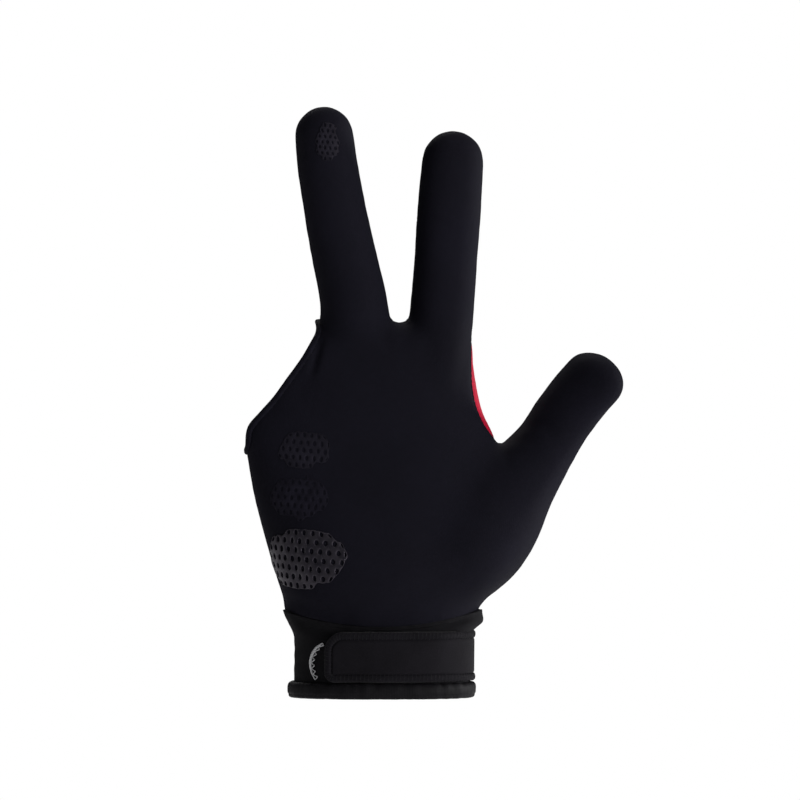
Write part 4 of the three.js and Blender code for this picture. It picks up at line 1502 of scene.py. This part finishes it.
class GLOVE_OT_grip_pads(bpy.types.Operator):
    """Print the four lattice grip pads onto the palm and the middle fingertip"""

    bl_idname = "glove.grip_pads"
    bl_label = "Print the grip pads"

    def execute(self, context):
        glove = context.scene.glove
        hand = glove.hand
        skin = form_copy()
        tree = BVHTree.FromBMesh(skin)
        for pad in PALM_PADS:
            middle = Vector((across(glove, pad.side), 0, above(glove, pad.up)))
            self.print_pad(glove, tree, pad, middle, across(glove, pad.wide), hand.palm_rise * pad.high)
        pad = FINGERTIP_PAD
        digit = next(digit for digit in digits(glove) if digit.name == "middle")
        along, _ = digit_axes(digit)
        middle = digit_root(glove, digit) + along * (pad.up * digit.size[2])
        self.print_pad(glove, tree, pad, middle, digit.size[0] * pad.wide, digit.size[2] * pad.high)
        skin.free()
        return {"FINISHED"}

    def print_pad(self, glove, tree, pad, middle, half_wide, half_high):
        """A net of six-sided cells, laid on the skin along the pad's own direction."""
        pads = glove.pads
        turn = math.radians(pad.turn)
        beside = Vector((math.cos(turn), -math.sin(turn), 0))
        out = Vector((-math.sin(turn), -math.cos(turn), 0))
        bm = bmesh.new()
        step_across, step_up = pads.pitch_across * pad.pitch, pads.pitch_up * pad.pitch
        rows = math.ceil(half_high / step_up) + 1
        columns = math.ceil(half_wide / step_across) + 2
        for row in range(-rows, rows + 1):
            for column in range(-columns, columns + 1):
                u = (column + (0.5 if row % 2 else 0.0)) * step_across
                v = row * step_up - u * math.tan(pads.slant)
                inside = math.hypot(u / (half_wide - 0.3 * step_across), v / (half_high - 0.3 * step_up))
                ragged = noise.noise(Vector((u, v, pad.fade)) / (3 * MM)) * pad.fade
                if inside + 0.2 * ragged < 1:
                    self.cell(bm, pads, u, v, step_across, step_up)
        bmesh.ops.remove_doubles(bm, verts=bm.verts, dist=0.05 * MM)
        for vert in bm.verts:
            out_share = math.hypot(vert.co.x / half_wide, vert.co.z / half_high)
            if out_share > PAD_RIM:
                vert.co *= (PAD_RIM + (out_share - PAD_RIM) * RIM_PULL) / out_share
            spot = vert.co / (1.4 * MM)
            uneven = Vector((noise.noise(spot), 0, noise.noise(spot + Vector((0, 7.3, 0)))))
            vert.co += uneven * mixed(0.26, 0.42, pad.fade) * MM
        cloth = bm.loops.layers.uv.verify()
        for face in bm.faces:
            for loop in face.loops:
                loop[cloth].uv = (loop.vert.co.x, loop.vert.co.z)
        lost = []
        for vert in bm.verts:
            start = middle + beside * vert.co.x + Vector((0, 0, vert.co.z))
            hit, normal, _, _ = tree.ray_cast(start, out)
            if hit is None:
                lost.append(vert)
                continue
            if normal.dot(out) < 0:
                normal = -normal
            vert.co = hit + normal * 0.03 * MM
        bmesh.ops.delete(bm, geom=lost, context="VERTS")
        bmesh.ops.recalc_face_normals(bm, faces=bm.faces)
        bm.normal_update()
        if sum(face.normal.dot(out) for face in bm.faces) < 0:
            bmesh.ops.reverse_faces(bm, faces=bm.faces)
        print_name = pad.node.replace("grip_pad", "silicone")
        material = silicone_paint(glove, print_name, pad.fade, half_wide, half_high)
        thickness = pads.thickness * mixed(1, 0.3, pad.fade)
        finish_piece(glove, pad.node.replace("grip_pad", "printed_grip"), bm, material,
                     (pad.node,), wall=thickness, outward=True, grow=1)

    def cell(self, bm, pads, u, v, step_across, step_up):
        """One six-sided cell with a hole in its middle."""
        made = bmesh.ops.create_circle(bm, cap_ends=True, segments=6, radius=1.0)["verts"]
        third = step_up * 2 / 3
        for vert in made:
            turn = round(math.atan2(vert.co.x, vert.co.y) / (math.pi / 3)) * math.pi / 3
            aside = math.sin(turn) / math.sin(math.pi / 3) * step_across / 2
            vert.co = Vector((u + aside, 0, v + math.cos(turn) * third - aside * math.tan(pads.slant)))
        face = made[0].link_faces[0]
        face.normal_update()
        bmesh.ops.inset_individual(bm, faces=[face], thickness=step_across * (1 - pads.hole) / 2)
        bmesh.ops.delete(bm, geom=[face], context="FACES")


class GLOVE_OT_stage(bpy.types.Operator):
    """Set up the pale floor, the soft lights and the camera"""

    bl_idname = "glove.stage"
    bl_label = "Set the stage"

    def execute(self, context):
        scene = context.scene
        self.floor(context)
        self.world(scene)
        for light in LIGHTS:
            self.light(scene, light)
        camera = bpy.data.cameras.new("camera")
        camera.sensor_width = 36
        camera.lens = camera.sensor_width * CAMERA_DISTANCE / FRAME_WIDTH
        eye = bpy.data.objects.new("camera", camera)
        eye.location = (FRAME_MIDDLE[0], -CAMERA_DISTANCE, FRAME_MIDDLE[1])
        eye.rotation_euler = (math.pi / 2, 0, 0)
        scene.collection.objects.link(eye)
        scene.camera = eye
        scene.view_settings.view_transform = "Standard"
        return {"FINISHED"}

    def floor(self, context):
        """A round pale floor below the glove."""
        bm = bmesh.new()
        bmesh.ops.create_circle(bm, cap_ends=True, segments=96, radius=FLOOR_RADIUS)
        for vert in bm.verts:
            vert.co.z = FLOOR_LEVEL
        mesh = bpy.data.meshes.new("floor")
        bm.to_mesh(mesh)
        bm.free()
        mesh.materials.append(floor_paint())
        floor = bpy.data.objects.new("floor", mesh)
        context.collection.objects.link(floor)

    def world(self, scene):
        """A white surround that the camera sees, and a dimmer one that lights the glove."""
        world = bpy.data.worlds.new("studio")
        scene.world = world
        world.use_nodes = True
        nodes, links = world.node_tree.nodes, world.node_tree.links
        surround = nodes["Background"]
        surround.inputs["Color"].default_value = (1, 1, 1, 1)
        surround.inputs["Strength"].default_value = 1.0
        soft = nodes.new("ShaderNodeBackground")
        soft.inputs["Color"].default_value = (1, 1, 1, 1)
        soft.inputs["Strength"].default_value = 0.025
        path = nodes.new("ShaderNodeLightPath")
        mix = nodes.new("ShaderNodeMixShader")
        links.new(path.outputs["Is Camera Ray"], mix.inputs[0])
        links.new(soft.outputs[0], mix.inputs[1])
        links.new(surround.outputs[0], mix.inputs[2])
        links.new(mix.outputs[0], nodes["World Output"].inputs["Surface"])

    def light(self, scene, light):
        """A round soft light, aimed at the glove."""
        lamp = bpy.data.lights.new(light.name, "AREA")
        lamp.shape = "DISK"
        lamp.size = light.size
        lamp.energy = light.power
        hung = bpy.data.objects.new(light.name, lamp)
        hung.location = light.place
        hung.rotation_euler = (LIGHT_AIM - hung.location).to_track_quat("-Z", "Y").to_euler()
        hung.visible_camera = False
        scene.collection.objects.link(hung)


class GLOVE_PT_panel(bpy.types.Panel):
    """Builds the glove piece by piece"""

    bl_idname = "GLOVE_PT_panel"
    bl_label = "Billiard glove"
    bl_space_type = "VIEW_3D"
    bl_region_type = "UI"
    bl_category = "Glove"

    def draw(self, context):
        for operator in STEPS:
            self.layout.operator(operator.bl_idname)
        glove = context.scene.glove
        for group in ("hand", "cloth", "cuff", "strap", "pads", "colours"):
            box = self.layout.box()
            sizes = getattr(glove, group)
            box.label(text=sizes.__doc__)
            for name in type(sizes).__annotations__:
                box.prop(sizes, name)


STEPS = [GLOVE_OT_form, GLOVE_OT_cloth, GLOVE_OT_red_panel, GLOVE_OT_seams, GLOVE_OT_opening_edge,
         GLOVE_OT_cuff, GLOVE_OT_hem, GLOVE_OT_strap, GLOVE_OT_grip_pads, GLOVE_OT_stage]
GROUPS = [HandSizes, ClothSizes, CuffSizes, StrapSizes, PadSizes, GloveColours, GloveSizes]


def register():
    for kind in (*GROUPS, *STEPS, GLOVE_PT_panel):
        bpy.utils.register_class(kind)
    bpy.types.Scene.glove = PointerProperty(type=GloveSizes)


def unregister():
    del bpy.types.Scene.glove
    for kind in (GLOVE_PT_panel, *reversed(STEPS), *reversed(GROUPS)):
        bpy.utils.unregister_class(kind)


def main():
    """Builds the glove and its stage."""
    register()
    for step in STEPS:
        group, name = step.bl_idname.split(".")
        getattr(getattr(bpy.ops, group), name)()


if __name__ == "__main__":
    main()
